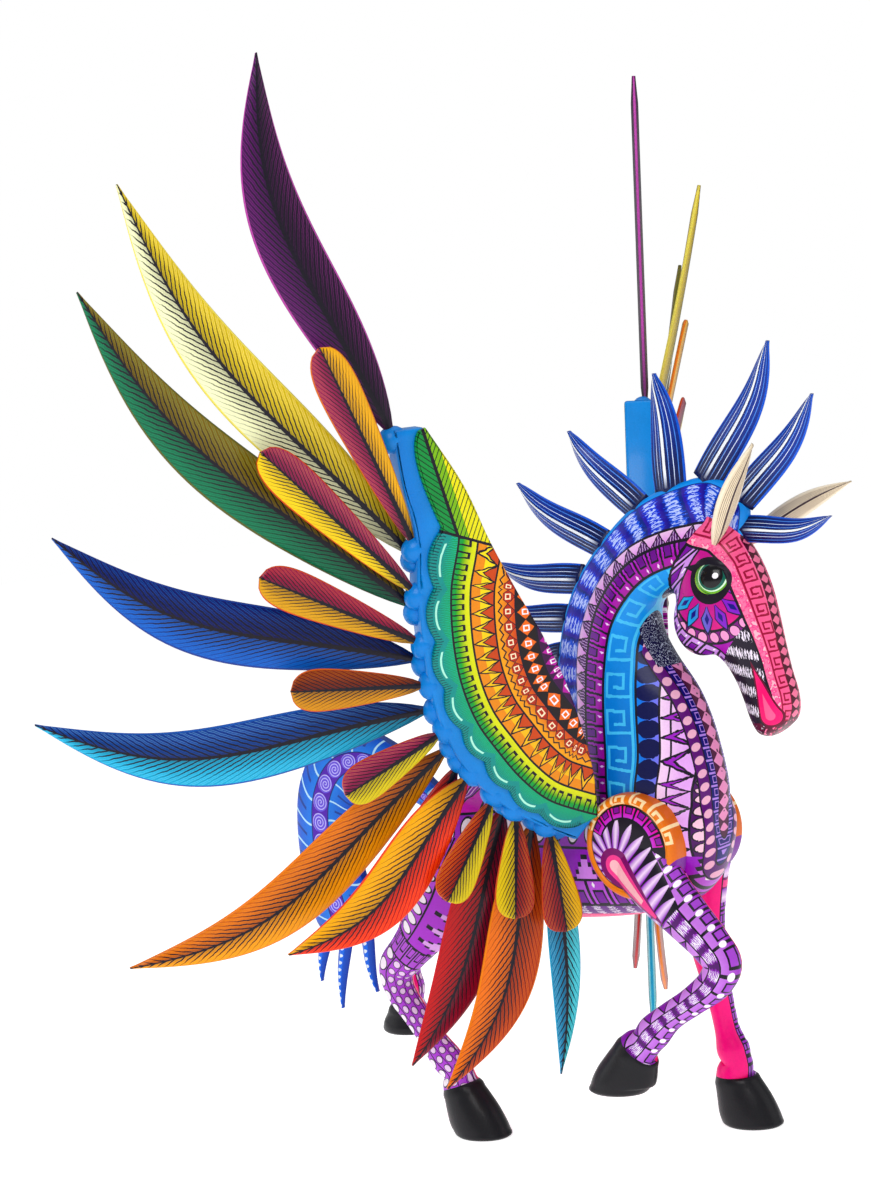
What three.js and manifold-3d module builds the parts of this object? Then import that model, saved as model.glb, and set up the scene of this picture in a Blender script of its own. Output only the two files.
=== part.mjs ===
// A carved and painted wooden winged horse. It trots towards +X and stands on its right hind
// and left fore hoof. Each wing is an arm with feathers pegged into its edge. Wings, tail and
// ears plug into the carving and pull out; the mane spikes, legs and feathers are glued in.
import * as THREE from 'three';
import { mergeVertices } from 'three/addons/utils/BufferGeometryUtils.js';
import Module from 'manifold-3d';

const wasm = await Module();
wasm.setup();

// Driving dimensions, in millimetres and degrees.
const clearance = 0.3; // between pieces that touch, and round every peg
const bodyWidth = 55;
const crestThickness = 13;
const crestDepth = 22; // of the crest that stands up round the neck, along its radius
const headWidth = 35;
const legSpread = 28; // from the middle plane to the middle of each lower leg
const legPeg = { radius: 4, length: 11 };
const hoof = { length: 34, width: 24 };
const shoulderDisc = { x: 54, z: 153, radius: 26, height: 7, rim: 2.5 };
const wing = { root: [28, bodyWidth * 0.46 + 4.7, 165], yaw: 55.4, lean: -4.6 };
const arm = { height: 209, width: 83, core: 15.5, relief: 3, bevel: 1.5, rimInset: 2 };
const wingTenon = { radius: 4.5, length: 17, from: [3, 8], along: [-0.31, -0.78, -0.54] };
const featherPeg = { radius: 2.2, length: 10 };
const featherLayers = { back: -3.7, front: 3.2 }; // of the peg middles, from the arm's middle
const feather = { width: 29, thickness: 3.6, edge: 2 };
const covert = { width: 22, thickness: 3.2, edge: 1.8 };
const spikePeg = { radius: 2, length: 7 };
const spike = { width: 22, thickness: 8, edge: 1.6 };
const tail = { width: 44, thickness: 12 };
const tailTenon = { radius: 4.5, length: 16 };
const tailTip = { width: 12, thickness: 7, edge: 1.4 };
const ear = { length: 60, width: 11, thickness: 7, edge: 1.4 };
const earTenon = { radius: 2.6, length: 9 };
const bodySides = 18;
const limbSides = 12;

const up = new THREE.Vector3(0, 0, 1);
const sideways = new THREE.Vector3(0, 1, 0);
const point = (x, y, z) => new THREE.Vector3(x, y, z);
const mirror = new THREE.Matrix4().makeScale(1, -1, 1);

// An ellipse of points round a centre, in the plane of two directions.
function ring(centre, a, b, alongA, alongB, sides) {
  const points = [];
  for (let k = 0; k < sides; k++) {
    const turn = (k / sides) * Math.PI * 2;
    const offsetA = alongA.clone().multiplyScalar(a * Math.cos(turn));
    points.push(centre.clone().add(offsetA).addScaledVector(alongB, b * Math.sin(turn)));
  }
  return points;
}

// A closed skin through rings that have the same number of points, with a fan over each end.
function loft(rings) {
  const sides = rings[0].length;
  const points = rings.flat();
  const index = [];
  for (let r = 0; r < rings.length - 1; r++) {
    for (let k = 0; k < sides; k++) {
      const here = r * sides + k;
      const next = r * sides + ((k + 1) % sides);
      index.push(here, next, next + sides, here, next + sides, here + sides);
    }
  }
  for (const [start, ahead] of [[0, 1], [(rings.length - 1) * sides, 0]]) {
    const middle = points.length;
    const centre = point(0, 0, 0);
    for (let k = 0; k < sides; k++) {
      centre.addScaledVector(points[start + k], 1 / sides);
      const next = start + ((k + 1) % sides);
      index.push(middle, ahead ? next : start + k, ahead ? start + k : next);
    }
    points.push(centre);
  }
  return solid(new THREE.BufferGeometry().setFromPoints(points).setIndex(index));
}

function facingOut(positions, index) {
  const [a, b, c] = [point(0, 0, 0), point(0, 0, 0), point(0, 0, 0)];
  let volume = 0;
  for (let i = 0; i < index.length; i += 3) {
    a.fromArray(positions, index[i] * 3);
    b.fromArray(positions, index[i + 1] * 3);
    c.fromArray(positions, index[i + 2] * 3);
    volume += a.dot(b.cross(c));
  }
  return volume > 0 ? index : index.reverse();
}

function solid(geometry) {
  geometry.deleteAttribute('normal');
  geometry.deleteAttribute('uv');
  const merged = mergeVertices(geometry, 1e-4);
  const vertProperties = new Float32Array(merged.attributes.position.array);
  const triVerts = facingOut(vertProperties, new Uint32Array(merged.index.array));
  return new wasm.Manifold(new wasm.Mesh({ numProp: 3, vertProperties, triVerts }));
}

function geometryOf(shape) {
  const mesh = shape.getMesh();
  const geometry = new THREE.BufferGeometry();
  geometry.setAttribute('position', new THREE.BufferAttribute(mesh.vertProperties, 3));
  geometry.setIndex(new THREE.BufferAttribute(mesh.triVerts, 1));
  return geometry;
}

const moved = (shape, matrix) => shape.transform(matrix.elements);

// A piece cut away where its neighbour is; slivers beyond the neighbour are dropped.
function fitted(shape, host) {
  const pieces = shape.subtract(host).decompose();
  return pieces.reduce((largest, piece) => (piece.volume() > largest.volume() ? piece : largest));
}

// A round dowel from `start` along `direction`; `grow` widens it into the hole that it fits.
function dowel(start, direction, radius, length, grow = 0, sides = 10) {
  const across = new THREE.Vector3().crossVectors(direction, Math.abs(direction.z) > 0.9 ? sideways : up);
  across.normalize();
  const other = new THREE.Vector3().crossVectors(direction, across).normalize();
  const end = start.clone().addScaledVector(direction, length + grow);
  const r = radius + grow;
  return loft([ring(start, r, r, across, other, sides), ring(end, r, r, across, other, sides)]);
}

// Rings between a top and a bottom line in the middle plane. Each station is
// [top x, top z, bottom x, bottom z, half width as a share of the full width].
function profileLoft(stations, width, grow = 0, sides = bodySides) {
  return loft(stations.map(([topX, topZ, bottomX, bottomZ, share]) => {
    const top = point(topX, 0, topZ);
    const bottom = point(bottomX, 0, bottomZ);
    const along = top.clone().sub(bottom);
    const half = along.length() / 2;
    const centre = top.clone().add(bottom).multiplyScalar(0.5);
    return ring(centre, half + grow, share * width + grow, along.normalize(), sideways, sides);
  }));
}

const torsoStations = [
  [-93, 166, -91, 146, 0.12], [-87, 175, -84, 133, 0.34], [-75, 180, -72, 120, 0.45],
  [-58, 180, -56, 113, 0.49], [-36, 175, -36, 111, 0.49], [-12, 171, -12, 110, 0.49],
  [10, 173, 12, 111, 0.5], [32, 180, 34, 113, 0.5], [52, 184, 55, 117, 0.49],
  [68, 186, 70, 122, 0.46], [81, 181, 81, 132, 0.38], [90, 172, 88, 147, 0.22],
];
const neckStations = [
  [14, 166, 80, 146, 0.42], [13, 184, 91, 168, 0.45], [12, 205, 90, 195, 0.42],
  [14, 228, 83, 221, 0.38], [18, 250, 71, 240, 0.34], [29, 272, 64, 253, 0.32],
  [46, 291, 65, 265, 0.3], [68, 304, 75, 271, 0.27], [92, 307, 88, 270, 0.24],
  [108, 300, 97, 268, 0.2],
];
const headStations = [
  [102, 306, 80, 276, 0.34], [114, 301, 79, 260, 0.43], [122, 290, 85, 249, 0.5],
  [128, 274, 94, 243, 0.49], [131, 258, 102, 237, 0.42], [133, 245, 107, 228, 0.36],
  [135, 232, 110, 219, 0.34], [137, 221, 113, 209, 0.36], [136, 212, 117, 202, 0.33],
  [131, 206, 123, 201, 0.2],
];

// The crest's outer line, from the forehead over the poll and down to the withers.
const crestLine = new THREE.CatmullRomCurve3([
  point(121, 0, 296), point(123, 0, 312), point(107, 0, 325), point(82, 0, 323),
  point(59, 0, 315), point(36, 0, 298), point(17, 0, 277), point(5, 0, 251),
  point(1, 0, 227), point(5, 0, 205), point(16, 0, 188),
]);
const crestStations = 22;

function crestInward(at) {
  const along = crestLine.getTangentAt(at);
  return new THREE.Vector3().crossVectors(along, sideways).normalize();
}

function crest(grow = 0) {
  const rings = [];
  for (let k = 0; k <= crestStations; k++) {
    const at = k / crestStations;
    const inward = crestInward(at);
    const centre = crestLine.getPointAt(at).addScaledVector(inward, crestDepth / 2);
    const half = crestDepth / 2 + grow;
    rings.push(ring(centre, half, crestThickness / 2 + grow, inward, sideways, 8));
  }
  return loft(rings);
}

function eyes() {
  const ball = new THREE.SphereGeometry(8.5, 12, 8);
  const place = new THREE.Matrix4().makeTranslation(108, headWidth * 0.29, 277);
  const one = moved(solid(ball), place);
  return one.add(moved(one, mirror));
}

function carving(grow = 0) {
  return profileLoft(torsoStations, bodyWidth, grow)
    .add(profileLoft(neckStations, bodyWidth, grow))
    .add(profileLoft(headStations, headWidth, grow))
    .add(crest(grow));
}

// A limb along its middle line. Each station is [x, z, y, half depth, half width]; its rings
// stand square to the line, and the last one is flat at the sole.
function limb(stations, side) {
  const middles = stations.map(([x, z, y]) => point(x, side * y, z));
  const rings = stations.map(([, , , depth, width], k) => {
    const before = middles[Math.max(k - 1, 0)];
    const after = middles[Math.min(k + 1, middles.length - 1)];
    const along = after.clone().sub(before).normalize();
    const isSole = k >= stations.length - 2;
    const across = isSole ? point(1, 0, 0) : new THREE.Vector3().crossVectors(along, sideways);
    return ring(middles[k], depth, width, across.normalize(), sideways, limbSides);
  });
  return loft(rings);
}

// The last stations of a leg: the coronet, and the hoof's rim above its flat sole.
function hoofEnd(x, z, y, height, slant) {
  return [
    [x - slant, z + height, y, hoof.length * 0.31, hoof.width * 0.38],
    [x - slant * 0.1, z + 3, y, hoof.length * 0.49, hoof.width * 0.49],
    [x, z, y, hoof.length * 0.5, hoof.width * 0.5],
  ];
}

const spread = legSpread;
const legs = {
  right_foreleg: {
    side: -1,
    disc: true,
    stations: [
      [48, 160, spread - 6, 12, 7], [55, 149, spread - 2, 18, 9], [67, 134, spread, 15.5, 10],
      [81, 119, spread, 12.5, 9.5], [93, 106, spread, 10.5, 8.5], [98, 98, spread, 9.5, 8.5],
      [93, 89, spread, 8.5, 8], [79, 79, spread, 7, 7], [64, 70, spread, 7, 7],
      [54, 62, spread, 8.5, 8], [48, 56, spread, 8, 7.5],
      ...hoofEnd(29, 31, spread, 22, -15),
    ],
  },
  left_foreleg: {
    side: 1,
    disc: true,
    stations: [
      [55, 160, spread - 6, 12, 7], [57, 146, spread - 2, 17, 9], [55, 127, spread, 13, 9.5],
      [53, 108, spread + 1, 10, 8.5], [52, 90, spread + 1, 9, 8.5], [53, 79, spread + 1, 8, 7.5],
      [55, 62, spread + 2, 6.5, 6.5], [57, 47, spread + 2, 6.5, 6.5], [59, 38, spread + 2, 8.5, 8],
      [61, 31, spread + 2, 7.5, 7.5],
      ...hoofEnd(66, 0, spread + 2, 25, 7),
    ],
  },
  right_hind_leg: {
    side: -1,
    stations: [
      [-56, 156, spread - 8, 14, 7], [-61, 143, spread - 4, 20, 9], [-69, 126, spread - 2, 18, 10],
      [-82, 109, spread, 14, 9.5], [-97, 95, spread, 11, 8.5], [-107, 85, spread, 10, 8],
      [-106, 74, spread, 8.5, 7.5], [-97, 61, spread, 7, 7], [-88, 49, spread, 7, 7],
      [-80, 39, spread, 8.5, 8], [-73, 32, spread, 8, 7.5],
      ...hoofEnd(-61, 0, spread, 26, 11),
    ],
  },
  left_hind_leg: {
    side: 1,
    stations: [
      [-56, 156, spread - 8, 14, 7], [-64, 143, spread - 4, 20, 9], [-78, 126, spread - 2, 17, 10],
      [-98, 111, spread - 1, 13, 9], [-120, 102, spread - 1, 10, 8.5], [-134, 97, spread - 1, 10, 8],
      [-143, 87, spread - 1, 8.5, 7.5], [-147, 76, spread - 1, 7, 7], [-148, 67, spread - 1, 7, 7],
      [-148, 59, spread - 1, 8.5, 8], [-149, 53, spread - 1, 8, 7.5],
      ...hoofEnd(-152, 34, spread - 1, 15, -2),
    ],
  },
};

// The domed disc on a shoulder, turned about an axis across the body.
function shoulder(side, grow = 0) {
  const { rim } = shoulderDisc;
  const radius = shoulderDisc.radius + grow;
  const height = shoulderDisc.height + grow;
  const profile = [
    new THREE.Vector2(0, -10), new THREE.Vector2(radius - 2, -10), new THREE.Vector2(radius, 0),
    new THREE.Vector2(radius, height - rim), new THREE.Vector2(radius - rim, height),
    new THREE.Vector2(radius * 0.5, height + 1.5), new THREE.Vector2(0, height + 2),
  ];
  const turned = solid(new THREE.LatheGeometry(profile, 18));
  const place = new THREE.Matrix4().makeTranslation(shoulderDisc.x, bodyWidth * 0.46, shoulderDisc.z);
  const disc = moved(turned, place);
  return side > 0 ? disc : moved(disc, mirror);
}

function legPegStart({ side, stations }) {
  const [x, z] = stations[1];
  return point(x, side * (bodyWidth / 2 + 2), z);
}

function legSolid(spec, host) {
  let shape = limb(spec.stations, spec.side);
  if (spec.disc) shape = shape.add(shoulder(spec.side));
  const inward = point(0, -spec.side, 0);
  const reach = legPeg.length + 3;
  return fitted(shape, host).add(dowel(legPegStart(spec), inward, legPeg.radius, reach));
}

function legHole(spec) {
  const inward = point(0, -spec.side, 0);
  const reach = legPeg.length + 3;
  return dowel(legPegStart(spec), inward, legPeg.radius, reach, clearance);
}

// Half widths along a blade, from 0 at the root to 1 at the tip.
const outlines = {
  plume: (u) => 3.5 * Math.pow(u + 0.02, 0.85) * Math.pow(1.004 - u, 1.0),
  paddle: (u) => 1.1 * Math.pow(u + 0.02, 0.55) * Math.pow(Math.max(1.001 - u ** 9, 0), 0.5),
  thorn: (u) => Math.pow(1.003 - u, 0.8) * (0.72 + 0.9 * u),
};

// A blade along x, across y, with its face towards z. It bows to one side by `bow`, mostly in
// its outer half. Its section is a lens with a thin square edge.
function blade({ length, width, thickness, edge, outline, bow = 0, steps = 10 }) {
  const rings = [];
  for (let k = 0; k <= steps; k++) {
    const u = k / steps;
    const half = Math.max((outlines[outline](u) * width) / 2, 0.5);
    const y = bow * (0.9 * Math.sin(Math.PI * u) - 0.2 * Math.sin(2 * Math.PI * u));
    const fade = Math.min(1, 0.35 + half / 6);
    const rim = (edge / 2) * fade;
    const crown = (thickness / 2) * fade;
    rings.push([
      [-half, rim], [0, crown], [half, rim], [half, -rim], [0, -crown], [-half, -rim],
    ].map(([across, high]) => point(u * length, y + across, high)));
  }
  return loft(rings);
}

// The peg at a blade's root, and the hole for it.
function peg({ radius, length }, grow = 0) {
  return dowel(point(5, 0, 0), point(-1, 0, 0), radius, length + 5, grow, 6);
}

// A place whose x runs along `along` and whose z is as near `face` as it can be.
function placeAt(root, along, face) {
  const x = along.clone().normalize();
  const y = new THREE.Vector3().crossVectors(face, x).normalize();
  const z = new THREE.Vector3().crossVectors(x, y);
  return new THREE.Matrix4().makeBasis(x, y, z).setPosition(root);
}

// Mane spikes: where each stands along the crest, its angle above +X, and its length.
const spikes = [
  { at: 0.015, angle: 3, length: 44, size: 0.8, bow: 4 },
  { at: 0.082, angle: 46, length: 60, size: 0.95, bow: 4 },
  { at: 0.172, angle: 56, length: 71, size: 1.05, bow: 5 },
  { at: 0.268, angle: 92, length: 54, size: 1.15, bow: 2 },
  { at: 0.36, angle: 132, length: 52, size: 1, bow: -3 },
  { at: 0.48, angle: 145, length: 57, size: 1, bow: -4 },
  { at: 0.578, angle: 168, length: 51, size: 0.95, bow: -4 },
  { at: 0.67, angle: 170, length: 40, size: 0.9, bow: -3 },
  { at: 0.75, angle: 181, length: 32, size: 0.8, bow: -3 },
];
const spikeSink = 3; // of the blade's foot into the crest, cut away to fit it

function spikePlace({ at, angle }) {
  const turn = THREE.MathUtils.degToRad(angle);
  const direction = point(Math.cos(turn), 0, Math.sin(turn));
  const root = crestLine.getPointAt(at).addScaledVector(direction, -spikeSink);
  return placeAt(root, direction, sideways);
}

function spikeSolid(spec, host) {
  const shape = blade({
    ...spike, width: spike.width * spec.size, length: spec.length + spikeSink, outline: 'thorn',
    bow: spec.bow, steps: 7,
  });
  const place = spikePlace(spec);
  return fitted(moved(shape, place), host).add(moved(peg(spikePeg), place));
}

const spikeHole = (spec) => moved(peg(spikePeg, clearance), spikePlace(spec));

// Ears: the left one is turned further out than the right one.
const ears = {
  right_ear: { root: [107.5, -9.8, 293], along: [0.62, -0.24, 0.78], face: [0.8, -0.5, -0.5] },
  left_ear: { root: [111, 9, 291], along: [0.84, 0.3, 0.4], face: [0.45, -0.85, 0.1] },
};

const earPlace = ({ root, along, face }) => placeAt(point(...root), point(...along), point(...face));

function earSolid(spec, host) {
  const shape = blade({ ...ear, outline: 'plume', bow: 2, steps: 8 });
  return fitted(moved(shape, earPlace(spec)), host).add(moved(peg(earTenon), earPlace(spec)));
}

const earHole = (spec) => moved(peg(earTenon, clearance), earPlace(spec));

// Tail: a broad blade that arches off the rump and hangs, with three spikes pegged in its end.
// Each station is [x, z, half width as a share of the full width].
const tailStations = [
  [-86, 168, 0.16], [-98, 176, 0.2], [-116, 187, 0.29], [-136, 192, 0.37], [-154, 187, 0.43],
  [-166, 172, 0.46], [-170, 152, 0.48], [-169, 130, 0.5], [-164, 106, 0.5], [-163, 101, 0.46],
];
const tailTenonAxis = point(0.83, 0, -0.56);
const tailTips = [
  { x: -176, z: 102, along: [-0.33, 0, -0.94], length: 37 },
  { x: -163, z: 101, along: [-0.24, 0, -0.97], length: 50 },
  { x: -150, z: 101, along: [0.06, 0, -1], length: 38 },
];

function tailBlade() {
  const middles = tailStations.map(([x, z]) => point(x, 0, z));
  return loft(tailStations.map(([, , share], k) => {
    const before = middles[Math.max(k - 1, 0)];
    const after = middles[Math.min(k + 1, middles.length - 1)];
    const across = new THREE.Vector3().crossVectors(after.clone().sub(before), sideways).normalize();
    return ring(middles[k], share * tail.width, tail.thickness / 2, across, sideways, 12);
  }));
}

const tailTipPlace = ({ x, z, along }) => placeAt(point(x, 0, z), point(...along), sideways);

function tailTipSolid(spec, host) {
  const shape = blade({ ...tailTip, length: spec.length, outline: 'thorn', bow: 2, steps: 6 });
  const place = tailTipPlace(spec);
  return fitted(moved(shape, place), host).add(moved(peg(spikePeg), place));
}

const tailTipHole = (spec) => moved(peg(spikePeg, clearance), tailTipPlace(spec));

// Wing frame, built for the left wing: x runs outwards and back, y up the wing, z to its face.
function wingPlace() {
  const yaw = THREE.MathUtils.degToRad(wing.yaw);
  const lean = THREE.MathUtils.degToRad(wing.lean);
  const outward = point(-Math.cos(yaw), Math.sin(yaw), 0);
  const face = point(Math.cos(lean) * Math.sin(yaw), Math.cos(lean) * Math.cos(yaw), Math.sin(lean));
  const rise = new THREE.Vector3().crossVectors(face, outward);
  return new THREE.Matrix4().makeBasis(outward, rise, face).setPosition(...wing.root);
}

// Outlines of the arm, as shares of its width and height.
const armInnerEdge = [
  [-0.05, 0.02], [-0.05, 0.12], [0.0, 0.24], [0.08, 0.36], [0.18, 0.46], [0.31, 0.57],
  [0.44, 0.69], [0.56, 0.82], [0.75, 0.96],
];
const armOuterEdge = [
  [0.93, 0.96], [0.91, 0.84], [0.86, 0.72], [0.88, 0.6], [0.88, 0.48], [0.86, 0.36],
  [0.79, 0.25], [0.67, 0.155], [0.49, 0.075], [0.26, 0.01], [0.08, -0.03],
];
const scallops = [
  [0.71, 0.73], [0.79, 0.6], [0.81, 0.48], [0.785, 0.37], [0.71, 0.27], [0.595, 0.19],
  [0.465, 0.115], [0.3, 0.05], [0.08, 0.005],
];
const armPoint = ([x, y]) => new THREE.Vector2(x * arm.width, y * arm.height);
const armEdge = new THREE.CatmullRomCurve3(
  armOuterEdge.map((share) => point(armPoint(share).x, armPoint(share).y, 0)),
);

function armCore() {
  const outline = [...armInnerEdge, ...armOuterEdge].map(armPoint);
  const shape = new THREE.Shape();
  shape.moveTo(outline[0].x, outline[0].y);
  shape.splineThru([...outline.slice(1), outline[0]]);
  const options = {
    depth: arm.core - 2 * arm.bevel, bevelThickness: arm.bevel, bevelSize: arm.bevel,
    bevelOffset: -arm.bevel, bevelSegments: 1, curveSegments: 2,
  };
  const geometry = new THREE.ExtrudeGeometry(shape, options);
  geometry.translate(0, 0, -arm.core / 2 + arm.bevel);
  return solid(geometry);
}

// The raised level on the arm's face, with a scalloped outer edge.
function armRelief() {
  const inner = armInnerEdge.map(armPoint).map((at) => at.add(new THREE.Vector2(arm.rimInset, 0)));
  const lobes = scallops.map(armPoint);
  const shape = new THREE.Shape();
  shape.moveTo(inner[0].x, inner[0].y);
  shape.splineThru(inner.slice(1));
  shape.quadraticCurveTo(inner[8].x + 9, inner[8].y - 10, lobes[0].x, lobes[0].y);
  for (let k = 1; k < lobes.length; k++) {
    const chord = lobes[k].clone().sub(lobes[k - 1]);
    const middle = lobes[k].clone().add(lobes[k - 1]).multiplyScalar(0.5);
    const bulge = new THREE.Vector2(-chord.y, chord.x).multiplyScalar(0.34);
    shape.quadraticCurveTo(middle.x + bulge.x, middle.y + bulge.y, lobes[k].x, lobes[k].y);
  }
  shape.closePath();
  const options = { depth: arm.relief + 1, bevelEnabled: false, curveSegments: 3 };
  const geometry = new THREE.ExtrudeGeometry(shape, options);
  geometry.translate(0, 0, arm.core / 2 - 1);
  return solid(geometry);
}

// Long feathers from the wing's tip to its foot: the place of the root along the arm's edge,
// the angle above outwards, the length and how far the feather leans to the wing's face.
const primaries = [
  { at: 0.01, angle: 76, length: 181, lift: 0, bow: -17, layer: 'front' },
  { at: 0.256, angle: 55.5, length: 222, lift: 11, bow: -14, layer: 'back' },
  { at: 0.363, angle: 48.5, length: 217, lift: 8, bow: -15, layer: 'back' },
  { at: 0.472, angle: 26, length: 182, lift: 2, bow: -17, layer: 'back' },
  { at: 0.577, angle: 6, length: 184, lift: -3, bow: -19, layer: 'back' },
  { at: 0.665, angle: -27.5, length: 180, lift: -5, bow: -19, layer: 'back' },
  { at: 0.73, angle: -34.5, length: 118, lift: 5, bow: -14, layer: 'front' },
  { at: 0.839, angle: -65.5, length: 133, lift: -4, bow: -8, layer: 'back' },
  { at: 0.913, angle: -64.5, length: 133, lift: 3, bow: -13, layer: 'back' },
  { at: 0.965, angle: -86, length: 120, lift: 0, bow: -4, layer: 'back', size: 0.55 },
];
const coverts = [
  { at: 0.235, angle: 67, length: 106, lift: 13, layer: 'front' },
  { at: 0.33, angle: 47, length: 104, lift: 12, layer: 'front' },
  { at: 0.432, angle: 29.5, length: 86, lift: 9, layer: 'front' },
  { at: 0.519, angle: 7, length: 66, lift: 7, layer: 'front' },
  { at: 0.621, angle: -22, length: 54, lift: 7, layer: 'front' },
  { at: 0.705, angle: -54, length: 58, lift: 6, layer: 'back' },
  { at: 0.8, angle: -54, length: 52, lift: 13, layer: 'front' },
  { at: 0.86, angle: -80, length: 48, lift: 11, layer: 'front' },
  { at: 0.94, angle: -92, length: 48, lift: 8, layer: 'front' },
];
const rootGap = 2.5; // from the arm's edge to the start of a feather's blade

function featherPlace({ at, angle, lift, layer }) {
  const turn = THREE.MathUtils.degToRad(angle);
  const tilt = THREE.MathUtils.degToRad(lift);
  const flat = Math.cos(tilt);
  const along = point(flat * Math.cos(turn), flat * Math.sin(turn), Math.sin(tilt));
  const root = armEdge.getPointAt(at).addScaledVector(along, rootGap);
  root.z = featherLayers[layer];
  return placeAt(root, along, up);
}

function featherBlade(spec, kind, outline, steps) {
  const width = kind.width * (spec.size ?? 1);
  return moved(blade({ ...kind, ...spec, width, outline, steps }), featherPlace(spec));
}

// Feathers of one wing in the wing's own frame, each with its name, blade and peg.
function wingFeathers() {
  const long = primaries.map((spec, k) => ({
    name: `primary_${k + 1}`, spec, shape: featherBlade(spec, feather, 'plume', 9),
  }));
  const short = coverts.map((spec, k) => ({
    name: `covert_${k + 1}`, spec, shape: featherBlade(spec, covert, 'paddle', 7),
  }));
  return [...long, ...short];
}

function wingTenonSolid(grow = 0) {
  const start = new THREE.Vector3(wingTenon.from[0], wingTenon.from[1], 0).applyMatrix4(wingPlace());
  const along = point(...wingTenon.along).normalize();
  return dowel(start, along, wingTenon.radius, wingTenon.length + 12, grow, 12);
}

function armSolid(feathers, host) {
  let shape = armCore().add(armRelief());
  for (const { spec } of feathers) {
    shape = shape.subtract(moved(peg(featherPeg, clearance), featherPlace(spec)));
  }
  const round = host.add(shoulder(1, clearance)); // the foot rests on the carving, behind the disc
  return fitted(moved(shape, wingPlace()), round).add(wingTenonSolid());
}

// Colours of the plain paint on each kind of piece.
const paint = {
  body: 0xb77bd0, crest: 0x2f7fe0, spike: 0x1b3f9e, ear: 0xcfc8c4, tail: 0x2a86dc,
  arm: 0x1f8fb0, covert: 0xb8862a,
  primaries: [0x3a1c40, 0xe2d36a, 0x2f6b35, 0x1f4fa8, 0x2c6fb4, 0xe0842a, 0xe05a24, 0xa01f24,
    0xc8641e, 0x3a9cc0],
};

const figure = new THREE.Group();

function add(name, shape, color, roughness = 0.45) {
  const material = new THREE.MeshStandardMaterial({ color, roughness, metalness: 0 });
  const mesh = new THREE.Mesh(geometryOf(shape), material);
  mesh.name = name;
  figure.add(mesh);
}

const bothSides = [['left', (shape) => shape], ['right', (shape) => moved(shape, mirror)]];
const host = carving(clearance);
const feathers = wingFeathers();
const tailBase = fitted(tailBlade(), host);
const tailStart = point(tailStations[1][0], 0, tailStations[1][1]);
const tailReach = tailTenon.length + 12;
const tailPeg = (grow) => dowel(tailStart, tailTenonAxis, tailTenon.radius, tailReach, grow, 12);

let body = carving().add(eyes());
for (const spec of Object.values(legs)) body = body.subtract(legHole(spec));
for (const spec of spikes) body = body.subtract(spikeHole(spec));
for (const spec of Object.values(ears)) body = body.subtract(earHole(spec));
for (const [, turned] of bothSides) body = body.subtract(turned(wingTenonSolid(clearance)));
body = body.subtract(tailPeg(clearance));
add('carved_body', body, paint.body);

for (const [name, spec] of Object.entries(legs)) add(name, legSolid(spec, host), paint.body);
spikes.forEach((spec, k) => add(`mane_spike_${k + 1}`, spikeSolid(spec, host), paint.spike));
for (const [name, spec] of Object.entries(ears)) add(name, earSolid(spec, host), paint.ear);

let tailShape = tailBase.add(tailPeg(0));
for (const spec of tailTips) tailShape = tailShape.subtract(tailTipHole(spec));
add('tail', tailShape, paint.tail);
const tailHost = tailBlade();
tailTips.forEach((spec, k) => add(`tail_tip_${k + 1}`, tailTipSolid(spec, tailHost), paint.tail));

for (const [side, turned] of bothSides) {
  add(`${side}_wing_arm`, turned(armSolid(feathers, host)), paint.arm);
  feathers.forEach(({ name, spec, shape }, k) => {
    const whole = shape.add(moved(peg(featherPeg), featherPlace(spec)));
    const color = k < primaries.length ? paint.primaries[k] : paint.covert;
    add(`${side}_${name}`, turned(moved(whole, wingPlace())), color);
  });
}

// The origin is under the middle of the figure's box, at the height of the soles.
figure.updateMatrixWorld(true);
const box = new THREE.Box3().setFromObject(figure);
const middle = box.getCenter(point(0, 0, 0));
figure.position.set(-middle.x, -middle.y, -box.min.z);

export default figure;
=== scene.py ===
import math

import bmesh
import bpy
from mathutils import Matrix, Vector, kdtree


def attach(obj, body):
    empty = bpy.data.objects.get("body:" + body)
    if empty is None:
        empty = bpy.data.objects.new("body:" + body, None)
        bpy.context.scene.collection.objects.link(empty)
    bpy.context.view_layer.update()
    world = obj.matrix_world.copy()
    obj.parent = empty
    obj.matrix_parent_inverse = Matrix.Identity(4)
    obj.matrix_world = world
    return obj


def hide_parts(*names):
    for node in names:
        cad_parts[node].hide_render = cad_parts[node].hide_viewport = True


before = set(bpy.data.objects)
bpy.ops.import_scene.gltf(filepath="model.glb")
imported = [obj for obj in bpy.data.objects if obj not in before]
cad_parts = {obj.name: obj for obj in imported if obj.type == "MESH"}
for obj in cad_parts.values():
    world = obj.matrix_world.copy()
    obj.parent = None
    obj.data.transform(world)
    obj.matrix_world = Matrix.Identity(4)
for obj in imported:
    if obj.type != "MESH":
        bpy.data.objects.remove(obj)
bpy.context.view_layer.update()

figureShift = Vector((12.7, 0.0, 0.0))  # mm, the carver's own origin lies this far behind the box middle
upward = Vector((0.0, 0.0, 1.0))
sideways = Vector((0.0, 1.0, 0.0))

# camera, light and the white backdrop

cameraSetup = {
    "target": Vector((-30.6, -35.6, 278.4)), "distance": 1200.0,
    "azimuth": 40.0, "elevation": 4.0, "roll": -7.0, "lensPerSensor": 2.0,
}
lampSetup = [
    {"name": "keyLamp", "at": (0.7, -1.5, 1.5), "size": 1.1, "power": 19.0},
    {"name": "fillLamp", "at": (1.6, 0.5, 0.9), "size": 1.4, "power": 5.0},
    {"name": "leftLamp", "at": (-1.5, -0.9, 0.8), "size": 1.2, "power": 6.0},
    {"name": "topLamp", "at": (-0.2, 0.3, 2.0), "size": 1.6, "power": 7.0},
]


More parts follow.
